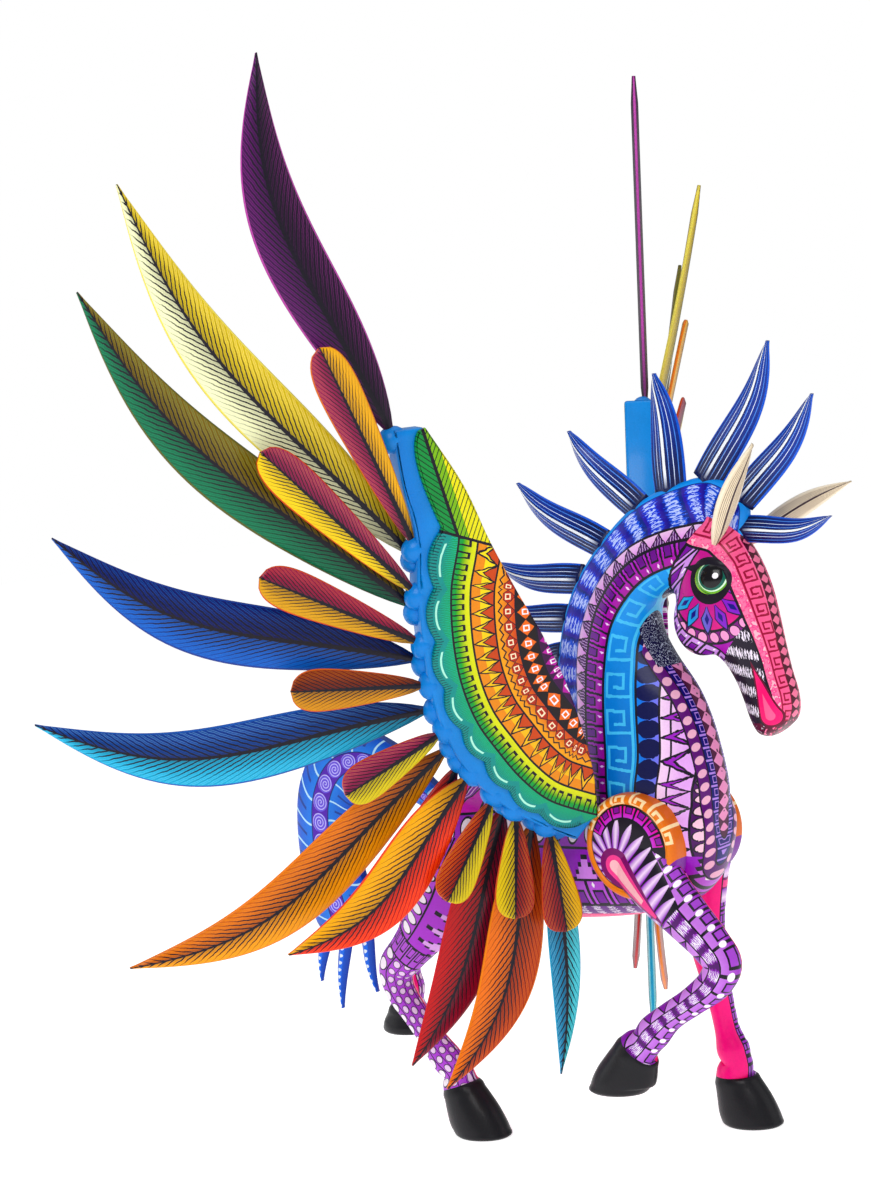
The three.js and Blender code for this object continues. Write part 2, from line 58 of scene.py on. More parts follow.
def makeCamera():
    turn = math.radians(cameraSetup["azimuth"])
    tilt = math.radians(cameraSetup["elevation"])
    roll = math.radians(cameraSetup["roll"])
    back = Vector((math.sin(turn) * math.cos(tilt), -math.cos(turn) * math.cos(tilt), math.sin(tilt)))
    level = Vector((math.cos(turn), math.sin(turn), 0.0))
    above = back.cross(level)
    right = level * math.cos(roll) + above * math.sin(roll)
    top = above * math.cos(roll) - level * math.sin(roll)
    place = (cameraSetup["target"] + back * cameraSetup["distance"]) / 1000
    camera = bpy.data.objects.new("camera", bpy.data.cameras.new("camera"))
    camera.data.sensor_fit = "VERTICAL"
    camera.data.sensor_height = 24.0
    camera.data.lens = 24.0 * cameraSetup["lensPerSensor"]
    camera.data.clip_end = 20.0
    camera.matrix_world = Matrix((
        (right.x, top.x, back.x, place.x), (right.y, top.y, back.y, place.y),
        (right.z, top.z, back.z, place.z), (0, 0, 0, 1),
    ))
    bpy.context.scene.collection.objects.link(camera)
    bpy.context.scene.camera = camera


def makeLamps():
    middle = Vector((-0.03, 0.0, 0.27))
    for setup in lampSetup:
        lamp = bpy.data.objects.new(setup["name"], bpy.data.lights.new(setup["name"], "AREA"))
        lamp.data.energy = setup["power"]
        lamp.data.size = setup["size"]
        lamp.location = setup["at"]
        lamp.rotation_euler = (lamp.location - middle).to_track_quat("Z", "Y").to_euler()
        bpy.context.scene.collection.objects.link(lamp)
    world = bpy.data.worlds.new("studio")
    world.use_nodes = True
    tree = world.node_tree
    paleStrokeAndHighlight = tree.nodes["Background"]
    paleStrokeAndHighlight.inputs["Color"].default_value = (1.0, 1.0, 1.0, 1)
    paleStrokeAndHighlight.inputs["Strength"].default_value = 0.36
    paper = tree.nodes.new("ShaderNodeBackground")  # the white paper behind the figure
    paper.inputs["Color"].default_value = (1.0, 1.0, 1.0, 1)
    sight = tree.nodes.new("ShaderNodeLightPath")
    either = tree.nodes.new("ShaderNodeMixShader")
    tree.links.new(sight.outputs["Is Camera Ray"], either.inputs[0])
    tree.links.new(paleStrokeAndHighlight.outputs[0], either.inputs[1])
    tree.links.new(paper.outputs[0], either.inputs[2])
    tree.links.new(either.outputs[0], tree.nodes["World Output"].inputs["Surface"])
    bpy.context.scene.world = world
    bpy.context.scene.view_settings.view_transform = "Standard"


makeCamera()
makeLamps()
print("camera and lamps are set")

# node helpers


class Field:  # a number or colour that changes over the surface, carried by a socket
    def __init__(self, tree, socket):
        self.tree = tree
        self.socket = socket

    def run(self, operation, *others):
        node = self.tree.nodes.new("ShaderNodeMath")
        node.operation = operation
        for plug, value in zip(node.inputs, (self, *others)):
            feed(self.tree, plug, value)
        return Field(self.tree, node.outputs[0])

    def __add__(self, other):
        return self.run("ADD", other)

    def __radd__(self, other):
        return self.run("ADD", other)

    def __sub__(self, other):
        return self.run("SUBTRACT", other)

    def __mul__(self, other):
        return self.run("MULTIPLY", other)

    def __truediv__(self, other):
        return self.run("DIVIDE", other)

    def over(self, value):
        return self.run("GREATER_THAN", value)

    def under(self, value):
        return self.run("LESS_THAN", value)

    def larger(self, value):
        return self.run("MAXIMUM", value)

    def smaller(self, value):
        return self.run("MINIMUM", value)

    def size(self):
        return self.run("ABSOLUTE")

    def fraction(self):
        return self.run("FRACT")

    def whole(self):
        return self.run("FLOOR")

    def power(self, value):
        return self.run("POWER", value)

    def sine(self):
        return self.run("SINE")

    def opposite(self):
        return self * -1.0 + 1.0

    def between(self, low, high):
        return self.over(low) * self.under(high)

    def ramp(self, low, high):  # 0 below low, 1 above high, smooth between
        node = self.tree.nodes.new("ShaderNodeMapRange")
        node.interpolation_type = "SMOOTHSTEP"
        feed(self.tree, node.inputs[0], self)
        node.inputs[1].default_value = low
        node.inputs[2].default_value = high
        return Field(self.tree, node.outputs[0])


def feed(tree, plug, value):
    if isinstance(value, Field):
        tree.links.new(value.socket, plug)
    else:
        plug.default_value = value


def ink(code):  # a paint colour from its usual six digits
    channels = [int(code[k:k + 2], 16) / 255 for k in (0, 2, 4)]
    return tuple(c / 12.92 if c < 0.04045 else ((c + 0.055) / 1.055) ** 2.4 for c in channels) + (1.0,)


def mixed(tree, mask, below, above):
    node = tree.nodes.new("ShaderNodeMix")
    node.data_type = "RGBA"
    feed(tree, node.inputs["Factor"], mask)
    feed(tree, node.inputs["A"], below)
    feed(tree, node.inputs["B"], above)
    return Field(tree, node.outputs["Result"])


def joined(tree, x, y, z=0.0):
    node = tree.nodes.new("ShaderNodeCombineXYZ")
    for plug, value in zip(node.inputs, (x, y, z)):
        feed(tree, plug, value)
    return Field(tree, node.outputs[0])


def parts(tree, vector):
    node = tree.nodes.new("ShaderNodeSeparateXYZ")
    feed(tree, node.inputs[0], vector)
    return [Field(tree, out) for out in node.outputs]


def attribute(tree, name):
    node = tree.nodes.new("ShaderNodeAttribute")
    node.attribute_name = name
    return parts(tree, Field(tree, node.outputs["Vector"]))


def objectPlace(tree):  # where the surface is, in millimetres from the carver's origin
    node = tree.nodes.new("ShaderNodeTexCoord")
    x, y, z = parts(tree, Field(tree, node.outputs["Object"]))
    return x * 1000.0 - figureShift.x, y * 1000.0, z * 1000.0


def noise(tree, vector, scale, detail=2.0):
    node = tree.nodes.new("ShaderNodeTexNoise")
    feed(tree, node.inputs["Vector"], vector)
    node.inputs["Scale"].default_value = scale
    node.inputs["Detail"].default_value = detail
    return Field(tree, node.outputs["Fac"])


class Canvas:  # coats of paint, each laid over the last one through a mask
    def __init__(self, tree, ground):
        self.tree = tree
        self.colour = ground

    def paint(self, mask, colour):
        self.colour = mixed(self.tree, mask, self.colour, colour)
        return self


def shared(name, inputs, outputs, recipe):
    group = bpy.data.node_groups.new(name, "ShaderNodeTree")
    kinds = {"colour": "NodeSocketColor", "number": "NodeSocketFloat"}
    for label, value in inputs.items():
        kind = "colour" if isinstance(value, tuple) else "number"
        socket = group.interface.new_socket(label, in_out="INPUT", socket_type=kinds[kind])
        socket.default_value = value
    for label, kind in outputs.items():
        group.interface.new_socket(label, in_out="OUTPUT", socket_type=kinds[kind])
    enter = group.nodes.new("NodeGroupInput")
    leave = group.nodes.new("NodeGroupOutput")
    made = recipe(group, *[Field(group, enter.outputs[label]) for label in inputs])
    for label, value in zip(outputs, made):
        feed(group, leave.inputs[label], value)
    return group


def use(tree, group, **values):
    node = tree.nodes.new("ShaderNodeGroup")
    node.node_tree = group
    for label, value in values.items():
        feed(tree, node.inputs[label], value)
    return [Field(tree, out) for out in node.outputs if out.enabled and out.name]


# painted motifs, each a mask in its own cell: Along counts cells, Across runs 0 to 1

black = ink("140f1c")
white = ink("f6f1f8")


def stroke(a, v, x0, x1, y0, y1, half):  # a straight brush line inside a cell
    level = (a - (x0 + x1) / 2).size().under((x1 - x0) / 2 + half)
    upright = (v - (y0 + y1) / 2).size().under((y1 - y0) / 2 + half)
    return level * upright


def keyRecipe(tree, along, across, half):
    a = along.fraction()
    lines = None
    for x0, x1, y0, y1 in (
        (0.0, 1.0, 0.9, 0.9), (0.84, 0.84, 0.1, 0.9), (0.24, 0.84, 0.1, 0.1),
        (0.24, 0.24, 0.1, 0.66), (0.24, 0.6, 0.66, 0.66), (0.6, 0.6, 0.36, 0.66),
    ):
        line = stroke(a, across, x0, x1, y0, y1, half)
        lines = line if lines is None else lines.larger(line)
    return [lines]


def squareRecipe(tree, along, across):
    a = along.fraction()
    wall = (a - 0.5).size().over(0.42)
    arch = (a - 0.5).size().larger((across - 0.3).size() * 0.85)
    arches = arch.between(0.2, 0.285) * across.over(0.0)
    core = arch.under(0.2)
    shine = ((a - 0.36).size() * 1.6 + (across - 0.84).size()).under(0.13)
    return [wall.larger(arches), core, shine]


def triangleRecipe(tree, along, across, hatches):
    a = along.fraction()
    slope = (a - 0.5).size() * 2.0
    gap = slope.opposite() - across
    inside = gap.over(0.0)
    line = gap.size().under(0.09)
    hatch = (along * hatches).fraction().under(0.3) * gap.under(0.0)
    return [inside, line, hatch]


def ovalRecipe(tree, along, across, long, tall):
    a = (along.fraction() - 0.5) / long
    v = (across - 0.5) / tall
    r = a * a + v * v
    return [r.under(1.0), r.between(1.0, 1.5)]


def stairRecipe(tree, along, across, steps):
    slope = ((along.fraction() - 0.5).size() * 2.0).opposite()
    stair = (slope * steps).whole() / steps
    above = across.over(stair)
    line = (across - stair).size().under(0.08)
    return [above, line]


def diamondRecipe(tree, along, across):
    a = (along.fraction() - 0.5).size()
    v = (across - 0.5).size()
    r = a + v
    square = a.larger(v)
    return [r.under(0.46), r.between(0.46, 0.53), square.between(0.11, 0.19)]


def combRecipe(tree, along, across):
    a = (along.fraction() - 0.5).size()
    outer = a.under(0.3) * across.under(0.72)
    inner = a.under(0.17) * across.under(0.56)
    return [outer - inner]


def tuftRecipe(tree, along, across, fine):
    place = joined(tree, along * 1.2, across * fine, 0.0)
    ragged = noise(tree, place, 3.0, 1.0)
    reach = (along.fraction() - 0.5).size() + (ragged - 0.5) * 0.55
    hairs = (across * fine + ragged * 2.0).fraction().under(0.55)
    return [reach.under(0.24) * hairs, reach.over(0.33)]


def streakRecipe(tree, x, y, z):  # the drag of a fine brush and the tool marks under the paint
    broad = noise(tree, joined(tree, x, y, z), 0.06, 3.0)
    fine = noise(tree, joined(tree, x, y, z), 0.9, 2.0)
    return [broad * 0.6 + fine * 0.4, fine]


greekKey = shared("greekKey", {"Along": 0.0, "Across": 0.0, "Half": 0.055}, {"Lines": "number"}, keyRecipe)
framedSquares = shared("framedSquares", {"Along": 0.0, "Across": 0.0},
                       {"Lines": "number", "Core": "number", "Shine": "number"}, squareRecipe)
triangles = shared("triangleRow", {"Along": 0.0, "Across": 0.0, "Hatches": 5.0},
                   {"Inside": "number", "Line": "number", "Hatch": "number"}, triangleRecipe)
ovals = shared("ovalRow", {"Along": 0.0, "Across": 0.0, "Long": 0.4, "Tall": 0.42},
               {"Inside": "number", "Line": "number"}, ovalRecipe)
stairs = shared("stairRow", {"Along": 0.0, "Across": 0.0, "Steps": 4.0},
                {"Above": "number", "Line": "number"}, stairRecipe)
diamonds = shared("diamondRow", {"Along": 0.0, "Across": 0.0},
                  {"Inside": "number", "Line": "number", "Square": "number"}, diamondRecipe)
combs = shared("combRow", {"Along": 0.0, "Across": 0.0}, {"Lines": "number"}, combRecipe)
tufts = shared("brushTufts", {"Along": 0.0, "Across": 0.0, "Fine": 6.0},
               {"Light": "number", "Dark": "number"}, tuftRecipe)
brushGrain = shared("brushGrain", {"X": 0.0, "Y": 0.0, "Z": 0.0},
                    {"Broad": "number", "Fine": "number"}, streakRecipe)


def paintSquares(canvas, zone, along, across, ground, core=None, shine=None, line=black):
    lines, middle, light = use(canvas.tree, framedSquares, Along=along, Across=across)
    canvas.paint(zone, ground)
    if core:
        canvas.paint(zone * middle, core)
    if shine:
        canvas.paint(zone * light, shine)
    canvas.paint(zone * lines, line)


def paintOvals(canvas, zone, along, across, shape, inside, ground=None, line=None):
    middle, edge = use(canvas.tree, ovals, Along=along, Across=across, Long=shape[0], Tall=shape[1])
    if ground:
        canvas.paint(zone, ground)
    if line:
        canvas.paint(zone * edge, line)
    canvas.paint(zone * middle, inside)


def paintTriangles(canvas, zone, along, across, inside, ground=None, hatch=None, line=None, hatches=5.0):
    middle, edge, strokes = use(canvas.tree, triangles, Along=along, Across=across, Hatches=hatches)
    if ground:
        canvas.paint(zone, ground)
    if hatch:
        canvas.paint(zone * strokes, hatch)
    canvas.paint(zone * middle, inside)
    if line:
        canvas.paint(zone * edge, line)


def apart(across, up):  # the straight distance that two offsets make
    return (across * across + up * up).power(0.5)


def band(value, low, high):  # a band's own 0 to 1, and the mask of the band
    return (value - low) * (1.0 / (high - low)), value.between(low, high)


def varnished(name, recipe, roughness=0.34, coat=0.35, relief=0.25):
    material = bpy.data.materials.new(name)
    material.use_nodes = True
    tree = material.node_tree
    shader = tree.nodes["Principled BSDF"]
    colour, height = recipe(tree)
    x, y, z = objectPlace(tree)
    broad, fine = use(tree, brushGrain, X=x, Y=y, Z=z)
    tone = tree.nodes.new("ShaderNodeHueSaturation")
    feed(tree, tone.inputs["Value"], broad * 0.4 + 0.74)
    tone.inputs["Saturation"].default_value = 1.14
    feed(tree, tone.inputs["Color"], colour)
    tree.links.new(tone.outputs[0], shader.inputs["Base Color"])
    feed(tree, shader.inputs["Roughness"], fine * 0.22 + (roughness - 0.11))
    shader.inputs["Specular IOR Level"].default_value = 0.17
    shader.inputs["Coat Weight"].default_value = coat * 0.36
    shader.inputs["Coat Roughness"].default_value = 0.16
    bump = tree.nodes.new("ShaderNodeBump")
    bump.inputs["Strength"].default_value = relief
    bump.inputs["Distance"].default_value = 0.0006
    level = broad * 0.7 + fine * 0.3
    feed(tree, bump.inputs["Height"], level if height is None else level + height)
    tree.links.new(bump.outputs[0], shader.inputs["Normal"])
    return material


# mesh helpers, all in the carver's millimetres


def curveThrough(points, steps):  # an even-tempered smooth curve, as short straight steps
    knots = [Vector(p) for p in points]
    ends = [knots[0] * 2 - knots[1], *knots, knots[-1] * 2 - knots[-2]]
    line = []
    for p0, p1, p2, p3 in zip(ends, ends[1:], ends[2:], ends[3:]):
        d0, d1, d2 = [max((b - a).length, 1e-6) ** 0.5 for a, b in ((p0, p1), (p1, p2), (p2, p3))]
        m1 = ((p1 - p0) / d0 - (p2 - p0) / (d0 + d1) + (p2 - p1) / d1) * d1
        m2 = ((p2 - p1) / d1 - (p3 - p1) / (d1 + d2) + (p3 - p2) / d2) * d1
        for k in range(steps):
            t = k / steps
            bend = (p2 - p1) * 3 - m1 * 2 - m2
            twist = (p1 - p2) * 2 + m1 + m2
            line.append(p1 + m1 * t + bend * (t * t) + twist * t ** 3)
    line.append(knots[-1])
    return line


def lengthsAlong(line):
    total = [0.0]
    for a, b in zip(line, line[1:]):
        total.append(total[-1] + (b - a).length)
    return total


def pointAt(line, share):
    total = lengthsAlong(line)
    goal = share * total[-1]
    k = next((i for i in range(1, len(line)) if total[i] >= goal), len(line) - 1)
    step = (goal - total[k - 1]) / (total[k] - total[k - 1])
    return line[k - 1].lerp(line[k], step), (line[k] - line[k - 1]).normalized()


def ring(bm, centre, alongA, a, alongB, b, sides, shape=None, note=None):
    made = bmesh.ops.create_circle(bm, segments=sides, radius=1.0)["verts"]
    for v in made:
        c, s = v.co.x, v.co.y
        if note:
            v[note[0]] = note[1](c, s)
        high, wide = shape(c, s) if shape else (c * a, s * b)
        v.co = centre + alongA * high + alongB * wide
    return list({e for v in made for e in v.link_edges})


def bridged(bm, rings):
    for near, far in zip(rings, rings[1:]):
        bmesh.ops.bridge_loops(bm, edges=near + far)
    for end in (rings[0], rings[-1]):
        bmesh.ops.contextual_create(bm, geom=end)


def dowel(bm, start, direction, radius, length, sides=20):
    side = direction.cross(sideways if abs(direction.z) > 0.9 else upward).normalized()
    other = direction.cross(side).normalized()
    rings = []
    for reach, r in ((0.0, radius), (length - 1.2, radius), (length, radius - 1.0)):
        rings.append(ring(bm, start + direction * reach, side, r, other, r, sides))
    bridged(bm, rings)


def finished(bm, name, body, nodes, materials, mirrored=False, sharp=False):
    bmesh.ops.transform(bm, matrix=Matrix.Diagonal((1, -1 if mirrored else 1, 1, 1)), verts=bm.verts)
    bmesh.ops.translate(bm, vec=figureShift, verts=bm.verts)
    bmesh.ops.scale(bm, vec=(0.001, 0.001, 0.001), verts=bm.verts)
    bmesh.ops.recalc_face_normals(bm, faces=bm.faces)
    for face in bm.faces:
        face.smooth = not sharp
    mesh = bpy.data.meshes.new(name)
    bm.to_mesh(mesh)
    bm.free()
    piece = bpy.data.objects.new(name, mesh)
    for material in materials:
        mesh.materials.append(material)
    bpy.context.scene.collection.objects.link(piece)
    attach(piece, body)
    if nodes:
        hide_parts(*nodes)
    return piece


def placeAt(root, along, face):
    x = Vector(along).normalized()
    y = Vector(face).cross(x).normalized()
    z = x.cross(y)
    return Matrix(((x.x, y.x, z.x, root.x), (x.y, y.y, z.y, root.y), (x.z, y.z, z.z, root.z), (0, 0, 0, 1)))


outlines = {
    "plume": lambda u: 3.5 * (u + 0.02) ** 0.85 * (1.004 - u),
    "paddle": lambda u: 1.1 * (u + 0.02) ** 0.55 * max(1.001 - u ** 9, 0) ** 0.5,
    "thorn": lambda u: (1.003 - u) ** 0.8 * (0.72 + 0.9 * u),
}


def blade(bm, place, spec, sides=20, steps=36):
    run = bm.verts.layers.float_vector.new("bladeRun")
    alongY, alongZ = place.col[1].xyz, place.col[2].xyz
    rings = []
    pegRadius = spec["pegRadius"]
    for reach in (-spec["pegLength"], -1.0):
        centre = place @ Vector((reach, 0, 0))
        mark = lambda c, s, reach=reach: Vector((reach, c * 2.0, c * 0.3))
        rings.append(ring(bm, centre, alongY, pegRadius, alongZ, pegRadius, sides, note=(run, mark)))
    for k in range(steps + 1):
        u = (k / steps) ** 0.9 if spec["outline"] != "paddle" else (k / steps) ** 0.7
        half = max(outlines[spec["outline"]](u) * spec["width"] / 2, 0.45)
        y = spec["bow"] * (0.9 * math.sin(math.pi * u) - 0.2 * math.sin(2 * math.pi * u))
        fade = min(1.0, 0.35 + half / 6)
        rim = spec["edge"] / 2 * fade
        crown = spec["thickness"] / 2 * fade
        centre = place @ Vector((u * spec["length"], y, 0))

        def section(c, s, half=half, rim=rim, crown=crown):
            rib = 0.25 * spec["rib"] * math.exp(-(c * half / 1.3) ** 2)
            high = abs(s) ** 0.4 * (rim + (crown - rim) * (1 - abs(c)) ** spec.get("belly", 0.9) + rib)
            return c * half, math.copysign(high, s)

        def mark(c, s, half=half, u=u):
            return Vector((u * spec["length"], c * half, c))

        rings.append(ring(bm, centre, alongY, 1, alongZ, 1, sides, section, (run, mark)))
    bridged(bm, rings)


# wings

wingSetup = {"root": Vector((28, 30, 165)), "yaw": 55.4, "lean": -4.6}
armSetup = {"height": 209, "width": 83, "core": 15.5, "relief": 3.0, "bevel": 1.5, "rimInset": 2.0}
tenonSetup = {
    "radius": 4.5, "reach": 29.0, "start": Vector((3, 8, 0)), "along": Vector((-0.31, -0.78, -0.54)),
}
armInnerEdge = [
    (-0.05, 0.02), (-0.05, 0.12), (0.0, 0.24), (0.08, 0.36), (0.18, 0.46), (0.31, 0.57),
    (0.44, 0.69), (0.56, 0.82), (0.75, 0.96),
]
armOuterEdge = [
    (0.93, 0.96), (0.91, 0.84), (0.86, 0.72), (0.88, 0.6), (0.88, 0.48), (0.86, 0.36),
    (0.79, 0.25), (0.67, 0.155), (0.49, 0.075), (0.26, 0.01), (0.08, -0.03),
]
scallops = [
    (0.71, 0.73), (0.79, 0.6), (0.81, 0.48), (0.785, 0.37), (0.71, 0.27), (0.595, 0.19),
    (0.465, 0.115), (0.3, 0.05), (0.08, 0.005),
]


def armPoint(share):
    return Vector((share[0] * armSetup["width"], share[1] * armSetup["height"], 0.0))


def wingPlace():
    yaw = math.radians(wingSetup["yaw"])
    lean = math.radians(wingSetup["lean"])
    outward = Vector((-math.cos(yaw), math.sin(yaw), 0.0))
    face = Vector((math.cos(lean) * math.sin(yaw), math.cos(lean) * math.cos(yaw), math.sin(lean)))
    rise = face.cross(outward)
    root = wingSetup["root"]
    return Matrix((
        (outward.x, rise.x, face.x, root.x), (outward.y, rise.y, face.y, root.y),
        (outward.z, rise.z, face.z, root.z), (0, 0, 0, 1),
    ))


wingMatrix = wingPlace()
armEdge = curveThrough([armPoint(s) for s in armOuterEdge], 20)
innerEdge = curveThrough([armPoint(s) for s in armInnerEdge], 12)

featherSetup = {"width": 29, "thickness": 3.6, "edge": 2.0, "outline": "plume", "rib": 1.0,
                "pegRadius": 2.1, "pegLength": 9.0, "lastNarrowing": 0.55}
covertSetup = {"width": 22, "thickness": 3.2, "edge": 1.8, "outline": "paddle", "rib": 0.6,
               "pegRadius": 2.1, "pegLength": 9.0}
layers = {"back": -3.7, "front": 3.2}
rootGap = 2.5
# place on the arm's edge, angle above outwards, length, lift to the face, bow, layer, and the paints of
# the leading vane, the trailing vane, the barbs' pale strokes (also a painted highlight towards the edges)
# and the thick edge
primaries = [
    (0.01, 76, 181, 0, -17, "front", "240c2a", "451650", "c060b4", "b85aa8"),
    (0.256, 55.5, 222, 11, -14, "back", "dcc030", "eef0c4", "fffbe0", "efe07a"),
    (0.363, 48.5, 217, 8, -15, "back", "7c6418", "0a6a46", "4cb88a", "5a5a22"),
    (0.472, 26, 182, 2, -17, "back", "161e66", "0a56ba", "3f96ee", "1a3a90"),
    (0.577, 6, 184, -3, -19, "back", "103c92", "3fb0d8", "b4ecf8", "1456b0"),
    (0.665, -27.5, 180, -5, -19, "back", "dc6c12", "f49c24", "ffd070", "f0801c"),
    (0.73, -34.5, 118, 5, -14, "front", "f6aa1c", "f02c1a", "ffb060", "f4502c"),
    (0.839, -65.5, 133, -4, -8, "back", "b81c22", "84102e", "ec5040", "c8282e"),
    (0.913, -64.5, 133, 3, -13, "back", "e86c14", "b83c16", "ffa850", "f08424"),
    (0.965, -86, 120, 0, -4, "back", "1c82b0", "64d0dc", "c8f6f8", "38a4cc"),
]
coverts = [
    (0.235, 67, 106, 13, 0, "front", "eaa818", "961a54", "f8c860", "e0701c"),
    (0.33, 47, 104, 12, 0, "front", "961a54", "f0ca14", "f8dc60", "d84c1c"),
    (0.432, 29.5, 86, 9, 0, "front", "981c48", "d49a18", "f4b450", "dc5424"),
    (0.519, 7, 66, 7, 0, "front", "7c2a1c", "c88418", "ecac50", "d8601c"),
    (0.621, -22, 54, 7, 0, "front", "961c54", "d4be10", "f0dc60", "c84c1c"),
    (0.705, -54, 58, 6, 0, "back", "b02228", "861434", "f07a4c", "c8382c"),
    (0.8, -54, 52, 13, 0, "front", "b0281c", "d4bc14", "f2d850", "d05c1c"),
    (0.86, -80, 48, 11, 0, "front", "d8b812", "a01c28", "f2dc58", "cc5020"),
    (0.94, -92, 48, 8, 0, "front", "961c30", "dca818", "f4c850", "c8481c"),
]


def barbRecipe(tree, along, across, share, length, upper, lower, light, edge, spacing):
    ragged = noise(tree, joined(tree, along * 0.35, across * 0.1, 0.0), 1.0, 2.0)
    wide = share.size()
    base = Canvas(tree, mixed(tree, share.over(0.0), lower, upper))
    # the pale barb strokes are paint; mixing in more of the light colour towards the vane edges is a painted
    # highlight
    paleStrokeAndHighlight = mixed(tree, wide.ramp(0.2, 0.9) * 0.5 + 0.1, base.colour, light)
    base.paint(wide.ramp(0.0, 0.7).opposite() * 0.5, black)
    phase = along / spacing - across.size() / spacing * 2.2 + ragged * 0.5
    cell = (phase.fraction() - 0.5).size()
    fade = wide.ramp(0.35, 1.0).opposite()
    base.paint((cell - 0.32).size().under(0.06) * wide.between(0.12, 0.92) * 0.45, paleStrokeAndHighlight)
    base.paint(cell.under(fade * 0.12 + 0.03) * (fade * 0.7 + 0.3) * wide.under(0.93), black)
    base.paint(wide.over(0.94), edge)
    rib = (along / length).opposite().larger(0.0) * 1.0 + 0.3 + (ragged - 0.5) * 0.7
    base.paint(across.size().under(rib), black)
    base.paint((along / length).ramp(-0.05, 0.26).opposite() * 0.75, black)
    height = cell.under(0.16) * -0.6 * wide.under(0.9)
    return [base.colour, height]


barbs = shared(
    "featherBarbs",
    {"Along": 0.0, "Across": 0.0, "Share": 0.0, "Length": 180.0, "Upper": black, "Lower": black,
     "Light": white, "Edge": white, "Spacing": 5.0},
    {"Colour": "colour", "Height": "number"}, barbRecipe)


def featherMaterial(name, spec, spacing):
    def recipe(tree):
        along, across, share = attribute(tree, "bladeRun")
        return use(tree, barbs, Along=along, Across=across, Share=share, Length=float(spec[2]),
                   Upper=ink(spec[6]), Lower=ink(spec[7]), Light=ink(spec[8]), Edge=ink(spec[9]),
                   Spacing=spacing)
    return varnished(name, recipe, roughness=0.38, relief=0.4)


armRows = {  # how deep each painted row lies inside the scallops, mm
    "comb": (8.4, 16.8), "teeth": (17.8, 28.6), "zigzag": (29.5, 39.0),
    "diamonds": (40.0, 48.6), "lastDiamonds": (49.6, 58.6),
}


def bandsRecipe(tree, s, d, lobe):
    canvas = Canvas(tree, ink("148c86"))
    arc = (lobe.fraction() - 0.5) * 2.0
    rim = (arc * arc * -1.0 + 1.0) * 4.6
    fromRim = d + rim
    hatch = (lobe * 19.0).fraction().under(0.34)
    canvas.paint(fromRim.under(3.4) * hatch, ink("053c48"))
    canvas.paint((fromRim - 5.0).size().under(0.5) * arc.size().under(0.56), ink("b4f0da"))
    canvas.paint(fromRim.over(6.2), mixed(tree, d.ramp(0.0, 8.0), ink("0f7a72"), ink("1c9a58")))
    canvas.paint(fromRim.over(6.2) * (lobe * 31.0).fraction().under(0.3), ink("2fb49a"))
    canvas.paint(d.over(7.4), black)
    v, inBand = band(d, *armRows["comb"])
    canvas.paint(inBand, mixed(tree, v.ramp(0.1, 0.9), ink("1f9a44"), ink("d8dc22")))
    comb = use(tree, combs, Along=s / 5.4, Across=v)[0]
    canvas.paint(inBand * comb, black)
    v, inBand = band(d, *armRows["teeth"])
    inside, line = use(tree, triangles, Along=s / 8.2, Across=v, Hatches=4.0)[:2]
    canvas.paint(inBand, mixed(tree, s.ramp(20.0, 190.0), ink("f4e22a"), ink("f4b81c")))
    canvas.paint(inBand * inside * v.under(0.4), ink("e88a1c"))
    small, smallLine = use(tree, triangles, Along=s / 8.2 + 0.5, Across=v.opposite() * 1.7, Hatches=4.0)[:2]
    canvas.paint(inBand * small, ink("c8481c"))
    canvas.paint(inBand * line.larger(smallLine), black)
    v, inBand = band(d, *armRows["zigzag"])
    canvas.paint(inBand, mixed(tree, v.ramp(0.0, 1.0), ink("f2a01e"), ink("d04a18")))
    tooth = ((s / 5.6).fraction() - 0.5).size()
    canvas.paint(inBand * (v - 0.16 - tooth * 0.36).size().under(0.045), black)
    cell, cellLine, square = use(tree, diamonds, Along=s / 9.4, Across=v * 1.3 - 0.36)
    canvas.paint(inBand * cell * v.over(0.4), ink("b02c18"))
    canvas.paint(inBand * square * v.over(0.4), ink("fbe9c8"))
    canvas.paint(inBand * cellLine * v.over(0.4), black)
    v, inBand = band(d, *armRows["diamonds"])
    inside, square = use(tree, diamonds, Along=s / 10.5, Across=v)[::2]
    canvas.paint(inBand, ink("1a0f12"))
    canvas.paint(inBand * inside, ink("ee6a1c"))
    canvas.paint(inBand * square, white)
    v, inBand = band(d, *armRows["lastDiamonds"])
    inside, square = use(tree, diamonds, Along=s / 10.5, Across=v)[::2]
    canvas.paint(d.over(armRows["lastDiamonds"][0]), ink("3a1040"))
    canvas.paint(inBand * inside, ink("b0309a"))
    canvas.paint(inBand * square, white)
    canvas.paint(d.over(armRows["lastDiamonds"][1]) * (s * 0.6).fraction().under(0.4), ink("7a2a9c"))
    levels = list(armRows.values())
    for outer, inner in zip(levels, levels[1:]):
        canvas.paint(d.between(outer[1], inner[0]), black)
    return [canvas.colour]


armBands = shared("armBands", {"Run": 0.0, "Depth": 0.0, "Lobe": 0.0}, {"Colour": "colour"}, bandsRecipe)


def tipLeaf(tree, canvas, x, y):  # the painted plume at the relief's upper end
    along = (x - 50.0) * 0.227 + (y - 140.0) * 0.974
    across = (x - 50.0) * 0.974 - (y - 140.0) * 0.227
    foot = along - across * 0.7
    leaf = foot.over(9.0)
    phase = along / 3.4 - across.size() / 3.4 * 1.3
    canvas.paint(leaf, mixed(tree, across.over(0.0), ink("e6de24"), ink("1f8a40")))
    canvas.paint(leaf * across.size().under(5.0) * across.under(0.0), ink("7cb428"))
    canvas.paint(leaf * phase.fraction().under(0.22), ink("10301a"))
    canvas.paint(leaf * across.size().under(0.8), black)
    canvas.paint(foot.between(8.0, 9.6), black)


